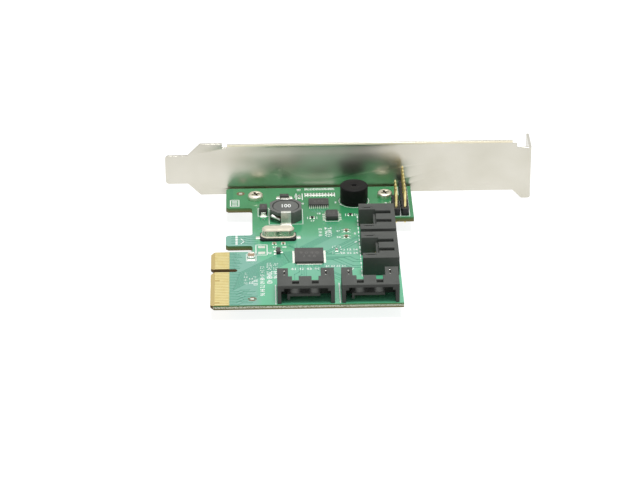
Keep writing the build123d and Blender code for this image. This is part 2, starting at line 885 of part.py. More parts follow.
small_diode_terminals = end_terminals(
    small_diode_place,
    90,
    small_diode_size[0],
    small_diode_terminal_width,
    small_diode_terminal_length,
    small_diode_terminal_height,
)
small_diode_terminals.label = "small_diode_terminals"
export_step(small_diode_terminals, "parts/small_diode_terminals.step")


def chip_middles(groups):
    """The bodies of chip parts, between their tinned ends. A group is its seats and a size."""
    with BuildPart() as middles:
        for seats, (length, width, height) in groups:
            with BuildSketch(*seats):
                Rectangle(length * (1 - 2 * chip_end_share), width)
            extrude(amount=height)
    return middles.part


def chip_ends(groups):
    """The tinned ends of chip parts."""
    with BuildPart() as ends:
        for seats, (length, width, height) in groups:
            with BuildSketch(*seats):
                with GridLocations(length * (1 - chip_end_share), 1, 2, 1):
                    Rectangle(length * chip_end_share, width)
            extrude(amount=height)
    return ends.part


# Chip parts: resistors, with a row of small ones beside the bracket, capacitors, and a large filter
# capacitor beside the fingers
row_along, row_out = resistor_row_start
resistor_seats = [on_board(*place) for place in resistor_places]
resistor_seats += [on_board(*place, facing=90) for place in outward_resistor_places]
row_seats = [
    on_board(row_along + number * resistor_row_pitch, row_out, facing=90)
    for number in range(resistor_row_count)
]
capacitor_seats = [on_board(*place) for place in capacitor_places]
load_capacitor_seats = [on_board(*place) for place in load_capacitor_places]
chip_groups = {
    "chip_resistor": [(resistor_seats, resistor_size), (row_seats, small_resistor_size)],
    "chip_capacitor": [(capacitor_seats, capacitor_size), (load_capacitor_seats, load_capacitor_size)],
    "filter_capacitor": [([on_board(*filter_place, facing=90)], filter_size)],
}
for name, groups in chip_groups.items():
    middles = chip_middles(groups)
    middles.label = f"{name}_bodies"
    export_step(middles, f"parts/{name}_bodies.step")
    ends = chip_ends(groups)
    ends.label = f"{name}_ends"
    export_step(ends, f"parts/{name}_ends.step")

# Buzzer
with BuildPart() as buzzer_base:
    with BuildSketch(buzzer_seat):
        Circle(buzzer_diameter / 2 - buzzer_base_inset)
    extrude(amount=buzzer_base_height)
buzzer_base.part.label = "buzzer_base"
export_step(buzzer_base.part, "parts/buzzer_base.step")

with BuildPart() as buzzer_case:
    with BuildSketch(buzzer_seat.offset(buzzer_base_height)):
        Circle(buzzer_diameter / 2)
    extrude(amount=buzzer_height - buzzer_base_height)
    chamfer(buzzer_case.edges().group_by(Axis.Z)[-1], buzzer_round)
    with BuildSketch(buzzer_seat.offset(buzzer_base_height)):
        Circle(buzzer_diameter / 2 - buzzer_wall)
    extrude(amount=buzzer_height - buzzer_base_height - buzzer_wall, mode=Mode.SUBTRACT)
    with BuildSketch(buzzer_seat.offset(buzzer_height)):
        RegularPolygon(buzzer_hole / 2, hidden_round_sides)
    extrude(amount=-buzzer_wall, mode=Mode.SUBTRACT)
buzzer_case.part.label = "buzzer_case"
export_step(buzzer_case.part, "parts/buzzer_case.step")

with BuildPart() as buzzer_pins:
    with BuildSketch(buzzer_seat):
        with GridLocations(buzzer_pin_spacing, 0, 2, 1):
            RegularPolygon(buzzer_pin_diameter / 2, small_round_sides)
    extrude(amount=-board_thickness - clip_below)
buzzer_pins.part.label = "buzzer_pins"
export_step(buzzer_pins.part, "parts/buzzer_pins.step")


def header_base(along, count):
    """A row of moulded segments with a notch between each two, and a square way for each pin."""
    wide, deep = header_width / 2, header_pitch / 2
    segment = [
        (-wide, header_notch - deep),
        (header_notch - wide, -deep),
        (wide - header_notch, -deep),
        (wide, header_notch - deep),
        (wide, deep - header_notch),
        (wide - header_notch, deep),
        (header_notch - wide, deep),
        (-wide, deep - header_notch),
    ]
    with BuildPart() as row:
        with BuildSketch(on_board(along, header_front)):
            for number in range(count):
                with Locations((0, number * header_pitch)):
                    Polygon(*segment)
                    Rectangle(header_pin, header_pin, mode=Mode.SUBTRACT)
        extrude(amount=header_height)
    return row.part


def header_row_pins(along, count):
    """Square pins through the base and the board, each with a point at its top."""
    places = [(0, number * header_pitch) for number in range(count)]
    with BuildPart() as pins:
        with BuildSketch(on_board(along, header_front, -header_pin_below)):
            with Locations(*places):
                Rectangle(header_pin, header_pin)
        extrude(amount=header_pin_height - header_pin_point + header_pin_below)
        with BuildSketch(on_board(along, header_front, header_pin_height - header_pin_point)):
            with Locations(*places):
                Rectangle(header_pin, header_pin)
        extrude(amount=header_pin_point, taper=header_pin_taper)
    return pins.part


for name, header in headers.items():
    base = header_base(*header)
    base.label = f"{name}_base"
    export_step(base, f"parts/{name}_base.step")
    pins = header_row_pins(*header)
    pins.label = f"{name}_pins"
    export_step(pins, f"parts/{name}_pins.step")

# Solder on the underside: a small many-sided cone round every leg that comes through
under_pins = [seat.offset(-board_thickness) for seat in header_pin_seats]
under_buzzer = buzzer_seat.offset(-board_thickness)
under_sockets = [seat.offset(-board_thickness) for seat in socket_seats]
with BuildPart() as solder_joints:
    with BuildSketch(*under_pins):
        RegularPolygon(solder_base / 2, solder_sides)
    with BuildSketch(under_buzzer):
        with GridLocations(buzzer_pin_spacing, 0, 2, 1):
            RegularPolygon(solder_base / 2, solder_sides)
    with BuildSketch(*under_sockets):
        with Locations(*clip_leg_places):
            RegularPolygon(solder_base / 2, solder_sides)
    extrude(amount=-solder_height)
    chamfer(solder_joints.edges().group_by(Axis.Z)[0], solder_height - solder_collar, solder_slope)
    with BuildSketch(*under_pins):
        Rectangle(header_pin, header_pin)
    extrude(amount=-solder_height, mode=Mode.SUBTRACT)
    with BuildSketch(under_buzzer):
        with GridLocations(buzzer_pin_spacing, 0, 2, 1):
            RegularPolygon(buzzer_pin_diameter / 2, small_round_sides)
    extrude(amount=-solder_height, mode=Mode.SUBTRACT)
    with BuildSketch(*under_sockets):
        with Locations(*clip_leg_places):
            Rectangle(clip_thickness, clip_prong)
    extrude(amount=-solder_height, mode=Mode.SUBTRACT)
solder_joints.part.label = "solder_joints"
export_step(solder_joints.part, "parts/solder_joints.step")

# Bare tinned pads, and the two round marks by which the board is lined up when it is made
with BuildPart() as bare_pads:
    with BuildSketch(on_board(0, 0)):
        with Locations(*[(along, -out) for along, out in bare_pad_places]):
            Rectangle(*bare_pad_size)
        with Locations(*[(along, -out) for along, out in fiducial_places]):
            RegularPolygon(fiducial_diameter / 2, small_round_sides)
    extrude(amount=bare_pad_thickness)
bare_pads.part.label = "bare_pads"
export_step(bare_pads.part, "parts/bare_pads.step")
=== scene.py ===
# %% [markdown]
# # A drive controller card
# The card is a small circuit board that plugs into a computer's expansion slot, with a folded steel
# bracket behind it. Its solid parts come ready made and fixed in place. This notebook gives each of
# them its finish, and adds what is too fine for the solids: the printed legend, copper tracks,
# solder, threads, and the soft edges that moulding and plating leave.

# %% Load the card
import bpy
import json
from math import atan2, cos, pi, radians, sin
from mathutils import Matrix, Vector


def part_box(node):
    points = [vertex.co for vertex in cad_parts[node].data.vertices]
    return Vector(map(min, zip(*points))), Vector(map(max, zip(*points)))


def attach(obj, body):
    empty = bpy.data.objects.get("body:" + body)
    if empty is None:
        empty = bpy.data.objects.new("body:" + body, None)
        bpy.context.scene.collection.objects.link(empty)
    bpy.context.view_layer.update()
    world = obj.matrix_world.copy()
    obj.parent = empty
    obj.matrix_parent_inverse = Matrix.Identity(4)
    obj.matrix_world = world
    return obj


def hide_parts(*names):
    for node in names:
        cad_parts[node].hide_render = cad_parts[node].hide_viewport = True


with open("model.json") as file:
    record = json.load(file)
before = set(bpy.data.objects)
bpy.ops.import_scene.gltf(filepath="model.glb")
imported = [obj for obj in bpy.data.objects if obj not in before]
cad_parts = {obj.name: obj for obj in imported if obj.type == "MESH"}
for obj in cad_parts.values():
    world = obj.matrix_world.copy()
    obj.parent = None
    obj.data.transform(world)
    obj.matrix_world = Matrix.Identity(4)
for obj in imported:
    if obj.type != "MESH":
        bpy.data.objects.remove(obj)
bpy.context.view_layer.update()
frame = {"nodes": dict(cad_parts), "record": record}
nodes = frame["nodes"]
slot_of = {row["node"]: row["material_slot"] for row in frame["record"]["subparts"]}
bpy.ops.object.select_all(action="DESELECT")
print("solid parts:", len(nodes))

# %% [markdown]
# A place on the board is given as the card's maker would give it: so many millimetres along the
# bracket from the end of its tongue, and so many out from the bracket's plate. Plain x, y and z would
# do too, but places on a real card are measured from its bracket. Both are counted from the boxes of
# the solid parts, so that they follow the parts.

# %% Places on the board
MM = 0.001
board_gap = 0.8
bracket_low, bracket_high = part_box("bracket")
board_low, board_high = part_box("circuit_board")
tongue_end = bracket_low.x / MM
plate_face = board_high.y / MM + board_gap
board_top = board_high.z / MM
board_bottom = board_low.z / MM
print("board from", round(board_bottom, 2), "to", round(board_top, 2), "mm up")


def spot(along, out, up=0.0):
    """A place over the board's top face, in metres, from millimetres along, out and up."""
    return Vector((tongue_end + along, plate_face - out, board_top + up)) * MM


def under(along, out, down=0.0):
    """A place below the board's lower face."""
    return Vector((tongue_end + along, plate_face - out, board_bottom - down)) * MM


def middle_of(low, high):
    """The middle of a box, along and out."""
    middle = (low + high) / 2 / MM
    return middle.x - tongue_end, plate_face - middle.y


def place_of(node):
    """The middle of a solid part, along and out."""
    return middle_of(*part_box(node))


# %% [markdown]
# The photograph looks down on the card from well in front, through a long lens. A camera could be
# placed by eye, but its height, turn and lens were worked out from the known sizes of the bracket and
# the edge connector, so that the two pictures can be laid over each other.

# %% Camera
camera_place = Vector((-28.777, -759.521, 404.349)) * MM
camera_yaw = 0.0243
camera_pitch = 0.4856
camera_roll = -0.005
camera_lens = 151.94
bpy.ops.object.camera_add(location=camera_place)
camera = bpy.context.object
camera.name = "camera"
turn = Matrix.Rotation(-camera_yaw, 4, "Z") @ Matrix.Rotation(pi / 2 - camera_pitch, 4, "X")
turn = turn @ Matrix.Rotation(camera_roll, 4, "Z")
camera.matrix_world = Matrix.Translation(camera_place) @ turn
camera.data.lens = camera_lens
bpy.context.scene.camera = camera
print("camera:", round(camera_place.length, 2), "m away, with a lens of", camera_lens, "mm")

# %% [markdown]
# Nodes could be made and linked one by one, but shader sums are easier to read as sums. `Value` wraps
# one output of a node, so that an ordinary Python expression adds the Math nodes it needs.

# %% Sums of shader values
def display(red, green, blue):
    """A colour from screen values of 0 to 255, as the linear values that a shader needs."""
    def linear(value):
        share = value / 255
        return share / 12.92 if share <= 0.04045 else ((share + 0.055) / 1.055) ** 2.4

    return (linear(red), linear(green), linear(blue), 1.0)


class Value:
    """One output of a finish's nodes."""

    def __init__(self, finish, socket):
        self.finish = finish
        self.socket = socket

    def math(self, operation, *others):
        return self.finish.node("Math", {"operation": operation}, dict(enumerate((self, *others))))

    def __add__(self, other):
        return self.math("ADD", other)

    def __sub__(self, other):
        return self.math("SUBTRACT", other)

    def __rsub__(self, other):
        return self.finish.node("Math", {"operation": "SUBTRACT"}, {0: other, 1: self})

    def __mul__(self, other):
        return self.math("MULTIPLY", other)

    __radd__ = __add__
    __rmul__ = __mul__

    def above(self, edge):
        return self.math("GREATER_THAN", edge)

    def below(self, edge):
        return self.math("LESS_THAN", edge)

    def between(self, low, high):
        return self.above(low) * self.below(high)

    def ramp(self, low, high):
        """0 at low, 1 at high, and a straight climb between. High may be the lower number."""
        return self.finish.node("MapRange", values={0: self, 1: low, 2: high})


# %% [markdown]
# `Finish` holds one material, and its `node` method makes any node. A pattern could be a picture laid
# on the piece. Here each point's colour is worked out from its own place in millimetres instead,
# which stays sharp close up and needs no unwrapping.

# %% A finish made of nodes
class Finish:
    """A material made of nodes, with its patterns in millimetres of the card's own frame."""

    def __init__(self, name, slot=None, **constants):
        self.slot = slot or name
        self.material = bpy.data.materials.new(name)
        self.material.use_nodes = True
        self.tree = self.material.node_tree
        self.shader = self.tree.nodes["Principled BSDF"]
        for socket, value in constants.items():
            self.shader.inputs[socket.replace("_", " ")].default_value = value
        where = self.node("TexCoord", output="Object")
        self.place = self.node("VectorMath", {"operation": "SCALE"}, {0: where, "Scale": 1 / MM})

    def node(self, kind, settings=None, values=None, output=0):
        """Adds a node, with its settings first and then the values or links of its sockets."""
        made = self.tree.nodes.new("ShaderNode" + kind)
        for name, value in (settings or {}).items():
            setattr(made, name, value)
        for name, value in (values or {}).items():
            if isinstance(value, Value):
                self.tree.links.new(value.socket, made.inputs[name])
            else:
                made.inputs[name].default_value = value
        return Value(self, made.outputs[output])

    def split(self, vector):
        """The three parts of a vector."""
        parts = self.node("SeparateXYZ", values={0: vector}).socket.node
        return [Value(self, parts.outputs[axis]) for axis in range(3)]

    def board_axes(self):
        """Along, out and depth below the board's top face."""
        x, y, z = self.split(self.place)
        return x - tongue_end, plate_face - y, board_top - z

    def direction(self):
        """The three parts of the surface's direction."""
        return self.split(self.node("NewGeometry", output="Normal"))

    def noise(self, size, detail=3.0, stretch=(1, 1, 1)):
        """Soft noise from 0 to 1, with grains of a size in millimetres."""
        place = self.node("Mapping", values={"Vector": self.place, "Scale": stretch})
        return self.node("TexNoise", values={"Vector": place, "Scale": 1 / size, "Detail": detail})

    def mix(self, share, first, second):
        """One colour going over to another as the share goes from 0 to 1."""
        return self.node("Mix", {"data_type": "RGBA"}, {0: share, 6: first, 7: second}, output=2)

    def set(self, **sockets):
        """Links values to the shader's sockets."""
        for name, value in sockets.items():
            self.tree.links.new(value.socket, self.shader.inputs[name.replace("_", " ")])

    def bump(self, height, proud):
        """Relief: where the height is 1, the surface stands this many millimetres proud."""
        self.set(Normal=self.node("Bump", values={"Height": height, "Distance": proud * MM}))

    def on(self, piece):
        """Gives this finish to a piece."""
        mesh = piece.data
        if not mesh.materials:
            mesh.materials.append(self.material)
        for index in range(len(mesh.materials)):
            mesh.materials[index] = self.material


# %% [markdown]
# Nearly every part of a card is moulded, pressed or plated, so two functions make those finishes. One
# flat colour would look like paint. Two close tones in soft clouds, over a very fine relief, look
# like plastic or metal.

# %% Moulded and plated finishes
def moulded(name, dark, light, rough, grain_size, grain_depth, shine=0.3):
    """A moulded or pressed body: two close tones in soft clouds, over a fine grain."""
    finish = Finish(name, Specular_IOR_Level=shine)
    grain = finish.noise(grain_size)
    cloud = finish.noise(4.0, 2.0)
    tone = 0.6 * cloud + 0.4 * grain
    finish.set(Base_Color=finish.mix(tone.ramp(0.3, 0.7), dark, light), Roughness=rough + 0.15 * grain)
    finish.bump(grain, grain_depth)
    return finish


def plated(name, bright, dull, rough, cloud_size, ripple=0.002):
    """A plated metal: its shine and its tone wander a little from place to place."""
    finish = Finish(name, Metallic=1.0)
    cloud = finish.noise(cloud_size)
    finish.set(Base_Color=finish.mix(cloud.ramp(0.3, 0.7), bright, dull), Roughness=rough + 0.12 * cloud)
    finish.bump(finish.noise(cloud_size / 5), ripple)
    return finish


# %% [markdown]
# The set is plain: a white table that runs out of sight, a white surround, and one large soft lamp
# high above. Table and surround look white to the camera and in reflections, but they light the card
# less than that, or its shadows would be lost. The lamp has the strength at which a colour shows
# about as it is written.

# %% Table, surround and lamp
table_size = 8.0
table_grey = 0.32
table_glow = 0.86
table_cast = display(110, 110, 110)
surround_light = 0.42
lamp_place = Vector((0.1, -0.12, 1.35))
lamp_size = 0.5
lamp_power = 15.5
white = (1.0, 1.0, 1.0, 1.0)

bpy.ops.mesh.primitive_plane_add(size=table_size, location=(0, 0, bracket_low.z))
table = bpy.context.object
table.name = "table"
paper = Finish("white_paper", Base_Color=(table_grey, table_grey, table_grey, 1.0), Roughness=0.9,
               Specular_IOR_Level=0.0, Emission_Strength=table_glow)
looking = paper.node("LightPath", output="Is Camera Ray")
looking = looking.math("MAXIMUM", paper.node("LightPath", output="Is Glossy Ray"))
looking = looking.math("MAXIMUM", paper.node("LightPath", output="Is Transmission Ray"))
paper.set(Emission_Color=paper.mix(looking, table_cast, white))
paper.on(table)

world = bpy.data.worlds.new("surround")
bpy.context.scene.world = world
world.use_nodes = True
rays = world.node_tree.nodes.new("ShaderNodeLightPath")
seen = world.node_tree.nodes.new("ShaderNodeMath")
seen.operation = "MAXIMUM"
strength = world.node_tree.nodes.new("ShaderNodeMapRange")
strength.inputs["To Min"].default_value = surround_light
strength.inputs["To Max"].default_value = 1.0
background = world.node_tree.nodes["Background"]
background.inputs["Color"].default_value = white
world.node_tree.links.new(rays.outputs["Is Camera Ray"], seen.inputs[0])
world.node_tree.links.new(rays.outputs["Is Glossy Ray"], seen.inputs[1])
world.node_tree.links.new(seen.outputs[0], strength.inputs["Value"])
world.node_tree.links.new(strength.outputs[0], background.inputs["Strength"])

bpy.ops.object.light_add(type="AREA", location=lamp_place)
lamp = bpy.context.object
lamp.name = "soft_lamp"
lamp.data.shape = "SQUARE"
lamp.data.size = lamp_size
lamp.data.energy = lamp_power
lamp.rotation_euler = (-lamp_place).to_track_quat("-Z", "Y").to_euler()
bpy.context.scene.view_settings.view_transform = "Standard"
print("lamp:", lamp_power, "W,", round(lamp_place.length, 2), "m away")

# %% [markdown]
# The board is glass-fibre laminate under a glossy green lacquer, which looks blue-grey where thin
# tracks run close together. The edge contacts are left bare of it. Along the front the board was
# scored and snapped off its panel, which leaves a rough pale band between two smooth ones. The solid
# is one plain plate, so each of these is found by its place on the board, and the mesh needs no cut.

# %% Green lacquer
finger_end = 21.04
finger_start = 45.0
key_end = 24.5
board_front = 79.3
fiducials = ((24.5, 4.5), (28.0, 75.5))
fiducial_ring = 1.35
top_skin = 0.5
dark_stripe = (20.96, 22.09, 1.65, 9.56)
stripe_edge = 0.05
track_fields = (
    (20.0, 29.0, 46.0, 80.0, 0.95),
    (29.0, 36.0, 52.0, 62.0, 0.5),
    (20.0, 27.6, 33.0, 41.5, 0.95),
    (41.0, 58.0, 53.5, 61.0, 0.4),
    (50.5, 60.5, 38.5, 56.0, 0.4),
    (42.0, 55.0, 36.5, 44.0, 0.3),
)
field_edge = 2.2
patch_size = 7.0
# Between these two distances out from the plate, the green goes over from painted shade to painted
# reflection.
painted_shade_out = 14.0
painted_reflection_out = 52.0
score_top = 0.45
score_bottom = 1.1
grit_size = 0.22

lacquer = Finish("solder_mask_board", IOR=1.6)
along, out, depth = lacquer.board_axes()


def field(low_along, high_along, low_out, high_out, edge):
    """1 inside a rectangle of the board, going over to 0 across its edge."""
    across = along.ramp(low_along - edge, low_along) * along.ramp(high_along + edge, high_along)
    return across * out.ramp(low_out - edge, low_out) * out.ramp(high_out + edge, high_out)


def near(place, radius):
    """1 within a radius of a place on the board."""
    across = along - place[0]
    ahead = out - place[1]
    return (across * across + ahead * ahead).below(radius * radius)


patches = lacquer.noise(patch_size).ramp(0.35, 0.7)
# Painted light: the green is painted darker toward the bracket plate as painted shade, and paler toward the
# front as a painted reflection.
rear = lacquer.mix(patches, display(48, 130, 80), display(56, 138, 88))
front = lacquer.mix(patches, display(86, 176, 134), display(96, 184, 142))
green = lacquer.mix(out.ramp(painted_shade_out, painted_reflection_out), rear, front)
for *rectangle, share in track_fields:
    green = lacquer.mix(field(*rectangle, field_edge) * share, green, display(112, 168, 150))
green = lacquer.mix(field(*dark_stripe, stripe_edge), green, display(40, 128, 84))
for place in fiducials:
    green = lacquer.mix(near(place, fiducial_ring) * depth.below(top_skin), green, display(104, 90, 58))
bare = along.below(finger_end) * out.above(finger_start - 0.1)
face = lacquer.mix(bare, green, display(186, 164, 98))
side = lacquer.direction()[2].math("ABSOLUTE").below(0.3)
grit = lacquer.noise(grit_size, 2.0, (0.6, 1, 1))
milled = lacquer.mix(depth.ramp(0.2, 1.3), display(76, 132, 70), display(132, 120, 74))
by_key = along.below(key_end) * out.between(finger_start, board_front - 0.2)
milled = lacquer.mix(by_key, milled, display(112, 88, 50))
snapped = depth.between(score_top, score_bottom) * out.above(board_front - 0.2)
edge = lacquer.mix(snapped * grit.ramp(0.38, 0.5), milled, display(238, 240, 218))
lacquer.set(Base_Color=lacquer.mix(side, face, edge), Roughness=0.16 + 0.55 * side + 0.25 * bare)
lacquer.bump(grit * side * snapped + 0.04 * lacquer.noise(1.6), 0.05)
print("nodes in the lacquer:", len(lacquer.tree.nodes))

# %% [markdown]
# The bracket is steel under a satin nickel plating, a soft mirror that blurs whatever stands before
# it. A sharper mirror would show the card in it too crisply. The sheared edge of its lip is duller
# than its faces, and its paler tone there is a painted highlight. What faces up beside the tongue is a
# little darker.

# %% Satin plating
sheet = 0.86
sheared_lip_out = 0.65
relief_end = 19.0
plating = Finish("plated_steel", Metallic=1.0)
along, out, depth = plating.board_axes()
up = plating.direction()[2]
cloud = plating.noise(12.0, 2.0)
grain = plating.noise(0.1, 3.0, (0.2, 1, 1))
tone = plating.mix(cloud.ramp(0.3, 0.7), display(208, 205, 194), display(199, 196, 183))
lip_depth = board_top - bracket_high.z / MM + sheet + 0.02
# The lip's sheared edge: rougher for its real duller finish, and paler as a painted highlight.
lip_edge_and_highlight = out.above(sheared_lip_out) * depth.below(lip_depth) * up.math("ABSOLUTE").below(0.5)
end_edge = up.above(0.9) * along.below(relief_end)
tone = plating.mix(0.3 * end_edge, tone, display(120, 112, 98))
# Painted highlight: the lip edge's pale tone.
tone = plating.mix(lip_edge_and_highlight, tone, display(240, 234, 214))
plating.set(Base_Color=tone, Roughness=0.28 + 0.03 * cloud + 0.45 * lip_edge_and_highlight)
plating.bump(grain, 0.0015)
print("nodes in the plating:", len(plating.tree.nodes))

# %% [markdown]
# The head of a screw is bright, and the recess in it is painted darker as painted shade. Both screws
# share one finish, so the recess is found as what lies near the middle of a head and below its rim.
# The crystal's can is drawn steel, bright on its walls and satin on the top that takes its mark.

# %% Screw and crystal metals
screw_bright = display(240, 236, 220)
screw_dull = display(220, 215, 198)
screw_clouds = 0.8
head_reach = 2.45
recess_reach = 1.5
rim_depth = 0.3
recess_floor = 0.4
nickel = plated("nickel_screw", screw_bright, screw_dull, 0.34, screw_clouds, 0.001)
along, out, depth = nickel.board_axes()
screw_low, screw_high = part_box("bracket_screws")
screw_top = screw_high.z / MM - board_top
left_screw = screw_low.x / MM - tongue_end + head_reach
right_screw = screw_high.x / MM - tongue_end - head_reach
across = (along - left_screw).math("ABSOLUTE").math("MINIMUM", (along - right_screw).math("ABSOLUTE"))
ahead = out - middle_of(screw_low, screw_high)[1]
inside = (across * across + ahead * ahead).below(recess_reach * recess_reach)
# Painted shade: the cross recess of each head is painted darker.
painted_recess_shade = inside * depth.between(rim_depth - screw_top, recess_floor)
polished = nickel.mix(nickel.noise(screw_clouds).ramp(0.3, 0.7), screw_bright, screw_dull)
nickel.set(Base_Color=nickel.mix(painted_recess_shade, polished, display(104, 98, 88)))

drawn = plated("crystal_metal", display(205, 200, 185), display(196, 191, 175), 0.2, 1.5, 0.0004)
drawn.set(Roughness=0.22 + 0.5 * drawn.direction()[2].ramp(0.1, 0.6))
print("screws at", round(left_screw, 2), "and", round(right_screw, 2), "mm along")

# %% [markdown]
# The other finishes are plain ones. Each is named for what it is, and the list of the solid parts
# says which one a part takes, so that no part is matched by hand.

# %% Metals and plastics
finishes = [
    nickel,
    lacquer,
    plating,
    drawn,
    plated("gold_plating", display(240, 228, 170), display(230, 214, 148), 0.28, 2.0),
    plated("gold_pin", display(246, 232, 170), display(228, 206, 140), 0.25, 1.0),
    plated("tin", display(236, 237, 230), display(217, 218, 210), 0.28, 0.6, 0.001),
    plated("solder", display(226, 229, 219), display(206, 209, 199), 0.46, 0.5, 0.001),
    plated("copper_wire", display(104, 66, 44), display(78, 48, 34), 0.3, 0.5),
    moulded("socket_plastic", display(76, 78, 75), display(86, 88, 85), 0.46, 0.09, 0.012, 0.16),
    moulded("black_plastic", display(34, 34, 36), display(44, 44, 46), 0.36, 0.1, 0.008),
    moulded("buzzer_plastic", display(22, 21, 21), display(28, 27, 27), 0.4, 0.12, 0.006, 0.12),
    moulded("chip_epoxy", display(66, 66, 64), display(80, 79, 77), 0.42, 0.07, 0.006),
    moulded("ferrite", display(92, 94, 91), display(106, 108, 105), 0.42, 0.14, 0.01),
    moulded("resistor_glaze", display(40, 34, 33), display(52, 45, 43), 0.3, 0.1, 0.004),
    moulded("capacitor_ceramic", display(150, 128, 104), display(170, 148, 122), 0.4, 0.15, 0.006),
    moulded("white_ink", display(226, 230, 226), display(244, 247, 243), 0.45, 0.2, 0.004),
]
finish_for = {finish.slot: finish for finish in finishes}
for name, node in nodes.items():
    finish_for[slot_of[name]].on(node)
print("finishes:", len(finish_for))

# %% [markdown]
# Moulded and folded parts never have knife edges, and it is the thin bright line along an edge that
# shows this. A material could fake the line, but not the rounder outline. So each such part gets a
# copy with small round edges, which stands in for it. `adopt` names a finished piece and hangs it on
# the card.

# %% Soft copies
def adopt(piece, name, slot, *replaced, finish=None):
    """Settles a piece at its place, with its finish and the solid parts that it stands for."""
    bpy.ops.object.select_all(action="DESELECT")
    piece.select_set(True)
    bpy.context.view_layer.objects.active = piece
    bpy.ops.object.transform_apply(location=True, rotation=True, scale=True)
    bpy.ops.object.select_all(action="DESELECT")
    piece.name = name
    (finish or finish_for[slot]).on(piece)
    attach(piece, "root")
    if replaced:
        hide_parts(*replaced)
    return piece


def round_off(piece, width, segments=2, angle=30):
    """Rounds the edges sharper than an angle, and smooths the shading of the rest."""
    bevel = piece.modifiers.new("soft_edges", "BEVEL")
    bevel.width = width * MM
    bevel.segments = segments
    bevel.limit_method = "ANGLE"
    bevel.angle_limit = radians(angle)
    bpy.context.view_layer.objects.active = piece
    piece.select_set(True)
    bpy.ops.object.modifier_apply(modifier=bevel.name)
    bpy.ops.object.shade_smooth_by_angle(angle=radians(angle + 5))
    piece.select_set(False)


def soften(node, width, segments=2, angle=30):
    """A copy of a solid part, its loose triangles joined and its edges rounded, in the part's place."""
    piece = bpy.data.objects.new("soft_" + node, nodes[node].data.copy())
    bpy.context.scene.collection.objects.link(piece)
    bpy.context.view_layer.objects.active = piece
    piece.select_set(True)
    bpy.ops.object.mode_set(mode="EDIT")
    bpy.ops.mesh.select_all(action="SELECT")
    bpy.ops.mesh.remove_doubles(threshold=0.001 * MM)
    bpy.ops.mesh.dissolve_limited(angle_limit=radians(1))
    bpy.ops.mesh.normals_make_consistent(inside=False)
    bpy.ops.object.mode_set(mode="OBJECT")
    round_off(piece, width, segments, angle)
    return adopt(piece, "soft_" + node, slot_of[node], node)


# %% [markdown]
# Large mouldings have the rounder edges, and small chips and cut terminals the sharper ones. Each
# part's own width is given, in millimetres, because one width for all would swallow the small parts.

# %% Soft edges
softened = []
for number in range(1, 5):
    softened.append(soften(f"drive_socket_{number}", 0.09))
    softened.append(soften(f"drive_socket_clips_{number}", 0.06))
softened.append(soften("bracket", 0.12))
softened.append(soften("crystal_can", 0.16, 4, 40))
for node, width in {
    "activity_header_base": 0.12,
    "jumper_header_base": 0.12,
    "crystal_base": 0.12,
    "inductor_shield": 0.15,
    "inductor_core": 0.1,
    "inductor_clips": 0.06,
    "inductor_wire_ends": 0.1,
    "power_diode": 0.12,
    "small_diode": 0.1,
    "controller_chip": 0.07,
    "driver_chip": 0.06,
    "memory_chip": 0.07,
    "regulator": 0.06,
    "power_diode_terminals": 0.05,
    "small_diode_terminals": 0.04,
    "chip_resistor_bodies": 0.04,
    "chip_resistor_ends": 0.05,
    "chip_capacitor_bodies": 0.05,
    "chip_capacitor_ends": 0.06,
    "filter_capacitor_bodies": 0.05,
    "filter_capacitor_ends": 0.1,
    "buzzer_base": 0.1,
}.items():
    softened.append(soften(node, width))
print("parts with soft edges:", len(softened))

# %% [markdown]
# Most added pieces are many small shapes in one mesh. They could be made apart and joined, which is
# slow. `gather` makes the first shape, opens its mesh in edit mode and adds the others to it there.

# %% Shapes in one mesh
def gather(shapes):
    """One object of many shapes, each given as a function and what it is called with."""
    make, *values = shapes[0]
    make(*values)
    piece = bpy.context.object
    bpy.ops.object.transform_apply(location=True, rotation=True, scale=True)
    bpy.ops.object.mode_set(mode="EDIT")
    for make, *values in shapes[1:]:
        make(*values)
    bpy.ops.object.mode_set(mode="OBJECT")
    return piece


def block(middle, size, turn=0.0):
    """A closed box, its size in millimetres, turned about its own upright."""
    bpy.ops.mesh.primitive_cube_add(
        size=1, location=middle, rotation=(0, 0, turn), scale=Vector(size) * MM
    )


def cone(base, low_radius, high_radius, height, sides=24):
    """A cone or drum that stands on a base point. A height below 0 hangs from it."""
    bpy.ops.mesh.primitive_cone_add(
        vertices=sides, radius1=low_radius * MM, radius2=high_radius * MM, depth=abs(height) * MM,
        location=base + Vector((0, 0, height / 2)) * MM, rotation=(0 if height > 0 else pi, 0, 0),
    )


def open_top(piece):
    """Opens a piece in edit mode, with only the faces selected that look up."""
    bpy.context.view_layer.objects.active = piece
    for face in piece.data.polygons:
        face.select = face.normal.z > 0.9
    for edge in piece.data.edges:
        edge.select = False
    for corner in piece.data.vertices:
        corner.select = False
    bpy.ops.object.mode_set(mode="EDIT")
    bpy.ops.mesh.select_mode(type="FACE")


# %% [markdown]
# Shapes that stand on each other have to become one skin, or hidden walls are left between them. And
# a solid part that holds many like pieces has to be told apart again, to find the place of each.

# %% Skins and separate pieces
def fuse(piece):
    """Joins drums that stand on each other into one skin, without the walls between them."""
    bpy.context.view_layer.objects.active = piece
    bpy.ops.object.mode_set(mode="EDIT")
    bpy.ops.mesh.select_all(action="SELECT")
    bpy.ops.mesh.remove_doubles(threshold=0.002 * MM)
    bpy.ops.mesh.select_all(action="DESELECT")
    bpy.ops.mesh.select_mode(type="FACE")
    bpy.ops.mesh.select_interior_faces()
    bpy.ops.mesh.delete(type="FACE")
    bpy.ops.object.mode_set(mode="OBJECT")


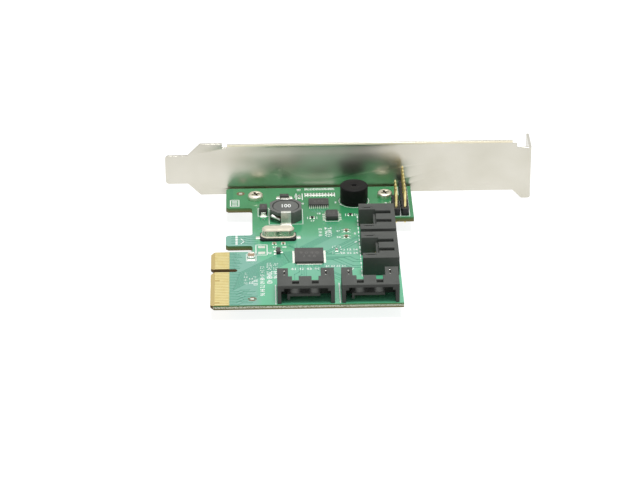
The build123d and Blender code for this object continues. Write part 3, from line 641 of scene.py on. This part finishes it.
def clean(piece, closeness):
    """Joins corners that lie within a distance, drops faces of no width, and turns all faces outward."""
    bpy.context.view_layer.objects.active = piece
    bpy.ops.object.mode_set(mode="EDIT")
    bpy.ops.mesh.select_all(action="SELECT")
    bpy.ops.mesh.remove_doubles(threshold=closeness * MM)
    bpy.ops.mesh.dissolve_degenerate(threshold=closeness * MM)
    bpy.ops.mesh.select_all(action="SELECT")
    bpy.ops.mesh.normals_make_consistent(inside=False)
    bpy.ops.object.mode_set(mode="OBJECT")


def islands(node, ceiling=None):
    """The boxes of a solid part's separate pieces, in metres, counting only what is below a ceiling."""
    mesh = nodes[node].data
    corners = [tuple(round(value / MM, 3) for value in vertex.co) for vertex in mesh.vertices]
    parent = {corner: corner for corner in corners}

    def root(corner):
        while parent[corner] != corner:
            corner = parent[corner]
        return corner

    for polygon in mesh.polygons:
        first = root(corners[polygon.vertices[0]])
        for index in polygon.vertices[1:]:
            parent[root(corners[index])] = first
    groups = {}
    for corner in parent:
        if ceiling is None or corner[2] < ceiling:
            groups.setdefault(root(corner), []).append(corner)
    boxes = []
    for group in groups.values():
        low = Vector([min(axis) for axis in zip(*group)]) * MM
        high = Vector([max(axis) for axis in zip(*group)]) * MM
        boxes.append((low, high))
    return sorted(boxes, key=lambda box: tuple(box[0]))


# %% [markdown]
# The screws have a rounded pan head with a cross recess, and a rolled thread below. The recess is cut
# by two crossed bars, as a punch presses the real one.

# %% Screw head
recess_width = 0.7
recess_length = 2.9
recess_depth = 1.1
recess_turn = radians(22)
pan_round = 0.75
screw_boxes = islands("bracket_screws")
low, high = screw_boxes[0]
head_radius = (high.x - low.x) / 2 / MM
head_height = high.z / MM - board_top
screw_middle = (low + high) / 2
screw_place = screw_middle.x / MM - tongue_end, plate_face - screw_middle.y / MM

head = gather([(cone, spot(*screw_place), head_radius, head_radius, head_height, 48)])
open_top(head)
bpy.ops.mesh.bevel(offset=pan_round * MM, segments=6)
bpy.ops.object.mode_set(mode="OBJECT")
above_recess = spot(*screw_place, head_height)
cutter = gather([
    (block, above_recess, (recess_length, recess_width, 2 * recess_depth), recess_turn),
    (block, above_recess, (recess_width, recess_length, 2 * recess_depth), recess_turn),
])
cross = head.modifiers.new("cross", "BOOLEAN")
cross.object = cutter
cross.operation = "DIFFERENCE"
cross.use_self = True
bpy.context.view_layer.objects.active = head
bpy.ops.object.modifier_apply(modifier=cross.name)
bpy.data.objects.remove(cutter)
round_off(head, 0.05, 2, 50)
print("screw head:", round(2 * head_radius, 2), "mm wide,", round(head_height, 2), "mm high")

# %% [markdown]
# The thread is a stack of rings instead of a helix. At this size it looks the same, and it stays one
# closed skin. One screw is made in full and then copied to the other's place.

# %% Screw thread
thread_pitch = 0.45
thread_depth = 0.22
shank_radius = 1.25
shank_length = board_top - low.z / MM
turns = round(shank_length / thread_pitch)
half_pitch = shank_length / turns / 2
core_radius = shank_radius - thread_depth
thread = gather([
    (cone, spot(*screw_place, -half_pitch * (number + 1)), *radii, half_pitch)
    for number in range(2 * turns)
    for radii in [(core_radius, shank_radius) if number % 2 else (shank_radius, core_radius)]
])
fuse(thread)
head.select_set(True)
thread.select_set(True)
bpy.context.view_layer.objects.active = head
bpy.ops.object.join()
clean(head, 0.001)
screw = adopt(head, "pan_screw_left", "nickel_screw", "bracket_screws")
second_screw = bpy.data.objects.new("pan_screw_right", screw.data.copy())
bpy.context.scene.collection.objects.link(second_screw)
second_screw.location = screw_boxes[1][0] - screw_boxes[0][0]
adopt(second_screw, "pan_screw_right", "nickel_screw")
print("turns of thread:", turns)

# %% [markdown]
# The buzzer is a drum with one round sound hole. The drum's top face is inset to the size of the hole
# and pushed down. A boolean cut would do as well, but this keeps the faces in even rings.

# %% Buzzer
sound_hole = 0.75
hole_depth = 0.7
low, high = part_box("buzzer_case")
buzzer_radius = (high.x - low.x) / 2 / MM
buzzer_low = low.z / MM - board_top
buzzer_high = high.z / MM - board_top
buzzer_along, buzzer_out = place_of("buzzer_case")
drum = gather([
    (cone, spot(buzzer_along, buzzer_out, buzzer_low), buzzer_radius, buzzer_radius,
     buzzer_high - buzzer_low, 72)
])
open_top(drum)
bpy.ops.mesh.inset(thickness=(buzzer_radius - sound_hole) * MM)
bpy.ops.mesh.extrude_region_move(TRANSFORM_OT_translate={"value": (0, 0, -hole_depth * MM)})
bpy.ops.object.mode_set(mode="OBJECT")
round_off(drum, 0.3, 4)
adopt(drum, "buzzer_drum", "buzzer_plastic", "buzzer_case")
print("buzzer:", round(2 * buzzer_radius, 2), "mm wide")

# %% [markdown]
# Inside the inductor's window the copper turns show. Each turn is a ring of wire, because the slant of
# a real winding is too small to see. The wire comes out at a slant, tinned, to the foot of its clip.
# Both ends have one shape, and the second is turned half way round.

# %% Inductor windings
low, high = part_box("inductor_coil")
coil_radius = (high.x - low.x) / 2
wire_radius = 0.21 * MM
coil_along, coil_out = place_of("inductor_coil")
coil_layers = 5


def ring(middle, radius, thickness):
    """One turn of round wire."""
    bpy.ops.mesh.primitive_torus_add(
        location=middle, major_radius=radius - thickness, minor_radius=thickness,
        major_segments=48, minor_segments=8,
    )


coil_floor = low.z / MM - board_top
coil_rise = (high.z - low.z) / MM / coil_layers
winding = gather([
    (ring, spot(coil_along, coil_out, coil_floor + (level + 0.5) * coil_rise), coil_radius, wire_radius)
    for level in range(coil_layers)
])
bpy.ops.object.shade_smooth()
adopt(winding, "inductor_winding", "copper_wire")

lead_radius = 0.42
lead_swell = 1.25
lead_sides = 16
lead_round = 0.22
outer_shift = Vector((-1.6, 0.55, -0.35)) * MM
inner_shift = Vector((1.2, -0.5, 0.45)) * MM
for number, (low, high) in enumerate(islands("inductor_wire_ends"), start=1):
    middle = (low + high) / 2
    side = 1 if middle.y < spot(coil_along, coil_out).y else -1
    facing = Matrix.Diagonal((side, side, 1))
    outer = Vector((middle.x, middle.y, high.z)) + facing @ outer_shift
    inner = Vector((middle.x, middle.y, low.z)) + facing @ inner_shift
    ahead = inner - outer
    bpy.ops.mesh.primitive_cone_add(
        vertices=lead_sides, radius1=lead_swell * lead_radius * MM, radius2=lead_radius * MM,
        depth=ahead.length, location=(outer + inner) / 2, rotation=ahead.to_track_quat("Z", "Y").to_euler(),
    )
    lead = bpy.context.object
    bpy.ops.object.transform_apply(location=True, rotation=True, scale=True)
    round_off(lead, lead_round, 3)
    adopt(lead, f"tinned_wire_{number}", slot_of["inductor_wire_ends"], "inductor_wire_ends")
print("turns of wire that show:", coil_layers)

# %% [markdown]
# Solder wets the pads beside each terminal and draws up against it in a small hollow curve. A low box
# with its upper edges bevelled hollow has that curve, at a few faces each, where a sculpted one would
# need hundreds. Each row below gives a part's node, how far the solder spreads past its feet, how
# high it stands, and, for a terminal that climbs, the height below which its foot is measured.

# %% Solder on the board
fillet_steps = 3
fillet_hollow = 0.2
fillet_reach = 0.92
smooth_angle = radians(50)


def fillets(name, node, grow, height, ceiling=None):
    """Solder round the feet of a part: a low box under each, its upper edges drawn in."""
    limit = None if ceiling is None else board_top + ceiling
    shapes = []
    for low, high in islands(node, limit):
        size = (high - low) / MM
        middle = Vector(((low.x + high.x) / 2, (low.y + high.y) / 2, board_top * MM + height * MM / 2))
        shapes.append((block, middle, (size.x + 2 * grow, size.y + 2 * grow, height)))
    piece = gather(shapes)
    open_top(piece)
    bpy.ops.mesh.bevel(offset=fillet_reach * grow * MM, segments=fillet_steps, profile=fillet_hollow)
    bpy.ops.object.mode_set(mode="OBJECT")
    bpy.ops.object.shade_smooth_by_angle(angle=smooth_angle)
    adopt(piece, name, "solder")
    return len(shapes)


solder_rows = [
    ("solder_resistors", "chip_resistor_ends", 0.12, 0.14),
    ("solder_capacitors", "chip_capacitor_ends", 0.12, 0.2),
    ("solder_filter", "filter_capacitor_ends", 0.3, 0.35),
    ("solder_power_diode", "power_diode_terminals", 0.3, 0.3, 0.1),
    ("solder_small_diode", "small_diode_terminals", 0.25, 0.26, 0.1),
    ("solder_regulator", "regulator_leads", 0.2, 0.24, 0.1),
    ("solder_memory", "memory_chip_leads", 0.05, 0.12, 0.1),
    ("solder_driver", "driver_chip_leads", 0.03, 0.1, 0.1),
    ("solder_crystal", "crystal_leads", 0.2, 0.34),
    ("solder_inductor", "inductor_clips", 0.28, 0.3, 0.1),
    ("solder_controller", "controller_chip_leads", 0.07, 0.14, 0.2),
    ("solder_pads", "bare_pads", 0.01, 0.08),
]
for number in range(1, 5):
    solder_rows.append((f"solder_socket_{number}", f"drive_socket_contacts_{number}", 0.12, 0.2, 0.1))
soldered = [fillets(*row) for row in solder_rows]
print("soldered feet on the board:", sum(soldered))

# %% [markdown]
# Under the board the solder stands round each leg as a little cone, wide at its foot and slimmer
# above. Two short cones, one on the other, give it that waist.

# %% Solder under the board
joint_flare = 0.28
joint_height = 0.72
joint_waist = 0.62
joint_tip = 0.42
shapes = []
for low, high in islands("solder_joints"):
    foot = Vector(((low.x + high.x) / 2, (low.y + high.y) / 2, high.z))
    radius = (high.y - low.y) / 2 / MM
    shapes.append((cone, foot, radius, joint_waist * radius, -joint_flare))
    tip = foot - Vector((0, 0, joint_flare * MM))
    shapes.append((cone, tip, joint_waist * radius, joint_tip * radius, joint_flare - joint_height))
joints = gather(shapes)
fuse(joints)
bpy.ops.object.shade_smooth_by_angle(angle=smooth_angle)
adopt(joints, "solder_cones", "solder", "solder_joints")
print("joints under the board:", len(shapes) // 2)

# %% [markdown]
# Copper tracks stand a few hundredths of a millimetre proud under the lacquer. They could be drawn in
# the lacquer's finish, but a raised line catches the light along its side as a real track does. Each
# straight run of a track is one low box, a little longer than the run so that its bends close.

# %% Lines on the board
track_width = 0.26
track_height = 0.05
bend_overlap = 0.7
foot_height = 0.1
over_copper = Finish("lacquer_over_copper", "solder_mask_board", IOR=1.6)
tone = over_copper.mix(over_copper.noise(3.0), display(74, 150, 124), display(84, 160, 132))
over_copper.set(Base_Color=tone, Roughness=0.18 + 0.05 * over_copper.noise(1.0))
tracks = {"top": [], "bottom": []}
vias = []


def runs(points, width, height, place=spot):
    """The boxes of a line through places on the board."""
    shapes = []
    for start, end in zip(points, points[1:]):
        first, last = place(*start, height / 2), place(*end, height / 2)
        ahead = last - first
        size = (ahead.length / MM + bend_overlap * width, width, height)
        shapes.append((block, (first + last) / 2, size, atan2(ahead.y, ahead.x)))
    return shapes


def in_a_row(first, step, count):
    """Places in a straight row, each a step along and out past the one before."""
    return [(first[0] + step[0] * order, first[1] + step[1] * order) for order in range(count)]


def routed(start, end, lead):
    """The corners of a track that leaves along the bracket for a share of its way, then runs aslant."""
    along_gap, out_gap = end[0] - start[0], end[1] - start[1]
    forward = 1 if along_gap > 0 else -1
    onward = 1 if out_gap > 0 else -1
    slant = min(abs(along_gap), abs(out_gap))
    straight = lead * (abs(along_gap) - slant)
    first = (start[0] + forward * straight, start[1])
    second = (first[0] + forward * slant, start[1] + onward * slant)
    third = (second[0], end[1])
    return [start, first, second, third, end]


def turned(points):
    """The same corners with along and out changed over."""
    return [(out, along) for along, out in points]


def feet(node):
    """Where the feet of a part's separate pieces stand, along and out."""
    return [middle_of(*box) for box in islands(node, board_top + foot_height)]


# %% [markdown]
# On the component side a track leaves its contact straight, crosses the board aslant and arrives
# straight. The contacts before the key end at small plated holes close by. The next twelve reach the
# controller, and the rest end at plated holes too. Which contact joins which lead is a guess, so they
# are joined in order.

# %% Tracks from the edge contacts
contacts_before_key = 11
contacts_to_controller = 12
contact_root = finger_end - 0.1
near_holes, near_stagger = 23.4, 0.45
far_holes, far_stagger, far_shift = 26.4, 0.8, -0.9
chip_reach = 5.1
left_leads, left_pitch = -3.6, 0.62
controller_along, controller_out = place_of("controller_chip")
contact_outs = sorted(middle_of(*box)[1] for box in islands("edge_contacts_component_side"))
for number, out in enumerate(contact_outs):
    order = number - contacts_before_key
    if order < 0:
        end = (near_holes + near_stagger * (number % 4), out)
        vias.append(end)
    elif order < contacts_to_controller:
        end = (controller_along - chip_reach, controller_out + left_leads + left_pitch * order)
    else:
        end = (far_holes + far_stagger * ((number * 2) % 5), out + far_shift)
        vias.append(end)
    tracks["top"].append(routed((contact_root, out), end, 0.5))
far_vias = vias[contacts_before_key:]
print("contacts on the component side:", len(contact_outs))

# %% [markdown]
# Four of a socket's seven contacts carry its signals, and the other three are ground. Their tracks
# leave the controller side by side, and each turns a little after its neighbour.

# %% Tracks to the sockets
signal_contacts = (1, 2, 4, 5)
right_leads, right_pitch, right_group = -3.4, 0.6, 3.6
front_leads, front_pitch, front_group = -3.2, 0.7, 3.8
for number in (3, 4):
    ends = sorted(feet(f"drive_socket_contacts_{number}"), key=lambda place: place[1])
    first_out = controller_out + right_leads + right_group * (number - 3)
    for order, index in enumerate(signal_contacts):
        start = (controller_along + chip_reach, first_out + right_pitch * order)
        turn_order = order if number == 3 else 3 - order
        tracks["top"].append(routed(start, ends[index], 0.25 + 0.12 * turn_order))
for number in (1, 2):
    ends = turned(sorted(feet(f"drive_socket_contacts_{number}")))
    first_along = controller_along + front_leads + front_group * (number - 1)
    for order, index in enumerate(signal_contacts):
        start = (controller_out + chip_reach, first_along + front_pitch * order)
        turn_order = order if number == 1 else 3 - order
        tracks["top"].append(turned(routed(start, ends[index], 0.3 + 0.1 * turn_order)))
print("tracks so far:", len(tracks["top"]))

# %% [markdown]
# The controller's rear leads have tracks towards the memory chip and the crystal. The driver's front
# leads have short ones to plated holes, and four more run in from the board's left edge.

# %% Tracks between the chips
memory_along, memory_out = place_of("memory_chip")
crystal_along, crystal_out = place_of("crystal_can")
driver_along, driver_out = place_of("driver_chip")
driver_foot, driver_hole, hole_stagger, last_bend = 3.6, 5.0, 0.5, 0.5
left_edge_rows = (34.4, 35.95, 37.5, 39.05)
left_edge_bends = ((21.6, 0.0), (25.8, 0.0), (27.2, 0.6), (29.8, 0.6))


def from_rear_leads(first_lead, pitch, count, first_end, step, lead):
    """Tracks from the controller's rear leads to places in a row. Gives those places."""
    starts = in_a_row((controller_along + first_lead, controller_out - chip_reach), (pitch, 0.0), count)
    ends = in_a_row(first_end, step, count)
    for start, end in zip(turned(starts), turned(ends)):
        tracks["top"].append(turned(routed(start, end, lead)))
    return ends


vias += from_rear_leads(-2.6, 0.62, 5, (memory_along - 1.6, memory_out + 5.2), (1.3, 0.7), 0.2)
from_rear_leads(-3.9, 0.45, 3, (crystal_along + 1.4, crystal_out + 3.4), (2.2, 0.5), 0.15)
for order, start in enumerate(in_a_row((driver_along - 2.6, driver_out + driver_foot), (1.05, 0.0), 6)):
    end = (start[0] + last_bend, driver_out + driver_hole + hole_stagger * (order % 3))
    tracks["top"].append([start, (start[0], end[1] - last_bend), end])
    vias.append(end)
for row_out in left_edge_rows:
    tracks["top"].append([(along, row_out + out) for along, out in left_edge_bends])
print("tracks on the component side:", len(tracks["top"]))

# %% [markdown]
# Under the board each contact has a short straight track, and the far plated holes lead on aslant,
# side by side. The photograph doesn't show that side, so these are plain and typical ones.

# %% Tracks under the board
under_end, under_stagger = 24.0, 0.4
under_run = (6.5, -9.0)
underside_outs = sorted(middle_of(*box)[1] for box in islands("edge_contacts_solder_side"))
for number, out in enumerate(underside_outs):
    tracks["bottom"].append([(contact_root, out), (under_end + under_stagger * ((number * 3) % 5), out)])
for along, out in far_vias:
    tracks["bottom"].append([(along, out), (along + under_run[0], out + under_run[1])])
for name, place in (("top", spot), ("bottom", under)):
    shapes = [shape for points in tracks[name] for shape in runs(points, track_width, track_height, place)]
    adopt(gather(shapes), f"copper_tracks_{name}", "solder_mask_board", finish=over_copper)
print("tracks under the board:", len(tracks["bottom"]))

# %% [markdown]
# Where a track changes sides it goes through a small plated hole, which the lacquer closes. It shows
# on both faces as a low rim with another tone in its middle, so the board needs no real hole there.

# %% Plated holes
rim_radius, rim_height = 0.3, 0.04
closed_radius, closed_height = 0.13, 0.05
holes = vias + in_a_row((memory_along - 3.0, memory_out + 4.2), (1.1, 0.0), 6)
holes += in_a_row((51.6, 55.2), (0.85, 0.0), 7)
holes += in_a_row((62.9, 24.0), (0.0, 4.4), 8)
holes += in_a_row((30.2, 29.2), (2.1, 0.0), 4)
holes += [(70.6, 27.5), (69.2, 44.0), (72.2, 62.4), (53.8, 71.8), (53.6, 76.4), (49.9, 18.1)]


def on_both_faces(low_radius, high_radius, height, sides):
    """A low drum at each plated hole, above the board and below it."""
    return gather([
        (cone, base, low_radius, high_radius, rise, sides)
        for place in holes
        for base, rise in ((spot(*place), height), (under(*place), -height))
    ])


rims = on_both_faces(rim_radius, 0.8 * rim_radius, rim_height, 12)
adopt(rims, "via_rims", "solder_mask_board", finish=over_copper)
adopt(on_both_faces(closed_radius, 0.12, closed_height, 10), "via_middles", "solder_mask_board")
print("plated holes:", len(holes))

# %% [markdown]
# The legend is printed in thick white ink: an outline round each part, bars and dashes between them,
# and plain numbers. It could be a picture on the board, but real ink stands a few hundredths of a
# millimetre proud, so its lines are low boxes like the tracks.

# %% Printed outlines
ink_height = 0.03
ink_width = 0.17
lines = []


def line(*points, width=ink_width):
    """A printed line through places on the board."""
    lines.extend(runs(points, width, ink_height))


def rectangle(low_along, high_along, low_out, high_out, width=ink_width):
    """A printed rectangle."""
    corners = [(low_along, low_out), (high_along, low_out), (high_along, high_out), (low_along, high_out)]
    line(*corners, corners[0], width=width)


def outline(node, gap_along, gap_out):
    """A printed rectangle round a part."""
    low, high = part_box(node)
    rectangle(low.x / MM - tongue_end - gap_along, high.x / MM - tongue_end + gap_along,
              plate_face - high.y / MM - gap_out, plate_face - low.y / MM + gap_out)


def bars(first, reach, step, count, width=ink_width):
    """Like bars in a row. Reach goes from a bar's start to its end, and step to the next bar."""
    for start in in_a_row(first, step, count):
        line(start, (start[0] + reach[0], start[1] + reach[1]), width=width)


outline("inductor_shield", 0.35, 0.3)
outline("power_diode", 0.4, 0.9)
outline("memory_chip", 0.2, 0.5)
outline("filter_capacitor_bodies", 0.55, 1.5)
outline("jumper_header_base", 0.25, 0.25)
outline("activity_header_base", 0.25, 0.25)
print("boxes in the outlines:", len(lines))

# %% [markdown]
# The bars and dashes between the parts follow no part's box, so each row of them is given one by one:
# where its first bar starts, how far a bar reaches, the step to the next, their number and width.

# %% Printed bars and dashes
dash, dash_gap = 1.5, 1.1
rectangle(21.2, 23.95, 9.1, 13.7, 0.3)
bars((21.8, 9.95), (1.5, 0.0), (0.0, 0.95), 4, 0.42)
rectangle(29.3, 32.8, 40.5, 47.3, 0.28)
line((35.15, 66.9), (35.15, 79.0), width=0.28)
line((54.7, 66.3), (54.7, 78.7), width=0.28)
bars((62.0, 21.7), (0.0, dash), (0.0, dash + dash_gap), 16, 0.3)
bars((46.0, 21.7), (0.0, 1.6), (3.0, 0.0), 2)
bars((58.3, 20.0), (0.0, 1.6), (3.0, 0.0), 2)
for along in (53.4, 55.9):
    bars((along, 42.4), (0.0, 1.0), (0.0, 3.4), 2)
bars((53.8, 42.1), (1.7, 0.0), (0.0, 5.0), 2)
bars((56.6, 31.15), (3.0, 0.0), (0.0, 1.7), 2)
bars((56.5, 35.25), (3.0, 0.0), (0.0, 1.7), 2)
bars((42.6, 5.2), (0.0, 4.5), (2.0, 0.0), 2, 0.28)
bars((45.5, 4.9), (0.0, 2.6), (0.97, 0.0), 11, 0.24)
line((24.6, 39.6), (25.6, 37.9), (24.6, 36.2), width=0.34)
bars((23.2, 34.2), (0.0, 1.4), (0.0, 2.1), 3, 0.7)


def arc(along, out, radius, first, last, steps, width=ink_width):
    """A printed arc, its angles in degrees from the bracket's length towards the front."""
    angles = [radians(first + (last - first) * step / steps) for step in range(steps + 1)]
    line(*[(along + radius * cos(angle), out + radius * sin(angle)) for angle in angles], width=width)


arc(buzzer_along, buzzer_out, buzzer_radius + 0.35, 0, 360, 48, 0.22)
arc(43.2, 50.2, 0.28, 0, 360, 12)
arc(31.76, 23.04, 0.2, 0, 360, 8, 0.3)
adopt(gather(lines), "legend_lines", "white_ink")
print("boxes in the printed lines:", len(lines))

# %% [markdown]
# Plain numbers are printed beside the parts. Text in Blender is a flat curve with a little depth, and
# it is made a mesh before it is put in place. Each row gives the figures, their middle along and out,
# their height and their turn in degrees.

# %% Printed numbers
numbers = [
    ("12 24 36 48 60 72 84 96", 31.1, 64.1, 1.35, -90),
    ("1024 2048 40", 33.3, 59.1, 1.75, -90),
    ("16 32 64 96", 35.3, 57.6, 1.5, -90),
    ("11 12 13 14", 26.0, 62.3, 1.1, -90),
    ("21 22", 27.6, 64.0, 1.2, -90),
    ("31 32 33", 29.0, 64.0, 1.2, -90),
    ("12 14 16", 49.8, 32.4, 1.1, -90),
    ("2400", 52.3, 32.4, 2.3, -90),
    ("10 12 14", 58.5, 44.6, 1.1, 0),
    ("20 22 24", 58.5, 46.9, 1.1, 0),
    ("41 42 43 44 45", 45.7, 56.9, 1.3, 0),
    ("61 62 63 64", 54.0, 55.3, 0.9, 0),
    ("7", 59.3, 57.4, 1.3, 0),
    ("8", 60.9, 39.5, 1.3, 0),
    ("5", 60.8, 33.9, 1.2, 0),
    ("25", 55.6, 32.0, 1.0, 0),
    ("26", 55.6, 36.1, 1.0, 0),
    ("17", 47.5, 24.6, 1.0, 0),
    ("18", 49.6, 19.6, 1.0, 0),
    ("19", 62.3, 20.9, 1.0, 0),
    ("27", 35.2, 42.2, 1.0, 0),
    ("28", 38.2, 42.2, 1.0, 0),
    ("29", 33.6, 46.0, 1.0, -90),
    ("30", 44.3, 12.4, 1.1, 0),
    ("15", 43.6, 2.6, 1.2, 90),
    ("3", 55.3, 11.9, 1.1, 0),
    ("4", 57.0, 13.4, 1.1, 0),
    ("23", 66.2, 13.6, 1.0, 0),
    ("9", 71.6, 12.9, 1.0, 0),
    ("1 2", 42.5, 6.9, 1.0, -90),
]
for order, place in enumerate(in_a_row((46.0, 2.1), (0.97, 0.0), 10)):
    numbers.append((str(50 + order), *place, 1.0, 90))
figure_share = 0.7


def figures(text, middle, height, turn, thickness, bold=0.0, squeeze=1.0):
    """Flat figures as a mesh, centred on a place, their height in millimetres."""
    bpy.ops.object.text_add()
    piece = bpy.context.object
    piece.data.body = text
    piece.data.align_x = "CENTER"
    piece.data.align_y = "CENTER"
    piece.data.size = height / figure_share * MM
    piece.data.extrude = thickness / 2 * MM
    piece.data.offset = bold * MM
    piece.data.resolution_u = 3
    bpy.ops.object.convert(target="MESH")
    piece = bpy.context.object
    clean(piece, 0.002)
    narrow = Matrix.Diagonal((squeeze, 1, 1, 1))
    piece.data.transform(Matrix.Translation(middle) @ Matrix.Rotation(turn, 4, "Z") @ narrow)
    return piece


def print_figures(name, rows, slot):
    """Joins rows of figures into one printed piece."""
    pieces = [figures(*row) for row in rows]
    for piece in pieces:
        piece.select_set(True)
    bpy.context.view_layer.objects.active = pieces[0]
    bpy.ops.object.join()
    return adopt(pieces[0], name, slot)


print_figures("legend_numbers", [
    (text, spot(along, out, ink_height / 2), height, radians(turn), ink_height, 0.02)
    for text, along, out, height, turn in numbers
], "white_ink")

inductor_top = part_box("inductor_core")[1].z / MM - board_top
print_figures("inductor_number", [
    ("100", spot(coil_along, coil_out, inductor_top + 0.01), 2.2, 0.0, ink_height, 0.05, 0.72)
], "white_ink")
print("printed numbers:", len(numbers))

# %% [markdown]
# A chip's mark is burnt in by a laser, a little paler than the epoxy and hardly raised. The round
# dimple by its first lead is moulded. A thin ring gives the rim of the dimple without a cut.

# %% Chip marks
mark_thickness = 0.012
dimple_rim = 0.05
grey_print = Finish("laser_mark", "chip_epoxy", Roughness=0.6)
speck = grey_print.noise(0.12)
grey_print.set(Base_Color=grey_print.mix(speck, display(88, 86, 84), display(112, 110, 107)))


def on_top_of(node, across=0.0, ahead=0.0):
    """A place on the top face of a part, from its middle."""
    along, out = place_of(node)
    return spot(along + across, out + ahead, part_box(node)[1].z / MM - board_top)


marks = print_figures("chip_numbers", [
    (text, on_top_of(node), height, turn, mark_thickness)
    for node, text, height, turn in (
        ("controller_chip", "9 0 4 0\n2 4 6", 1.5, 0.0),
        ("driver_chip", "2 4 5", 1.1, 0.0),
        ("memory_chip", "2 5\n4 0", 0.9, pi / 2),
        ("power_diode", "34", 0.9, pi / 2),
        ("small_diode", "14", 0.7, 0.0),
    )
], "chip_epoxy")
grey_print.on(marks)

dimples = [
    (ring, on_top_of(node, across, ahead), radius * MM, dimple_rim * MM)
    for node, across, ahead, radius in (
        ("controller_chip", -3.6, 3.6, 0.42),
        ("driver_chip", -2.7, 1.5, 0.26),
        ("memory_chip", -1.2, 1.8, 0.3),
    )
]
adopt(gather(dimples), "pin_one_rings", "chip_epoxy")
print("chips with a dimple:", len(dimples))
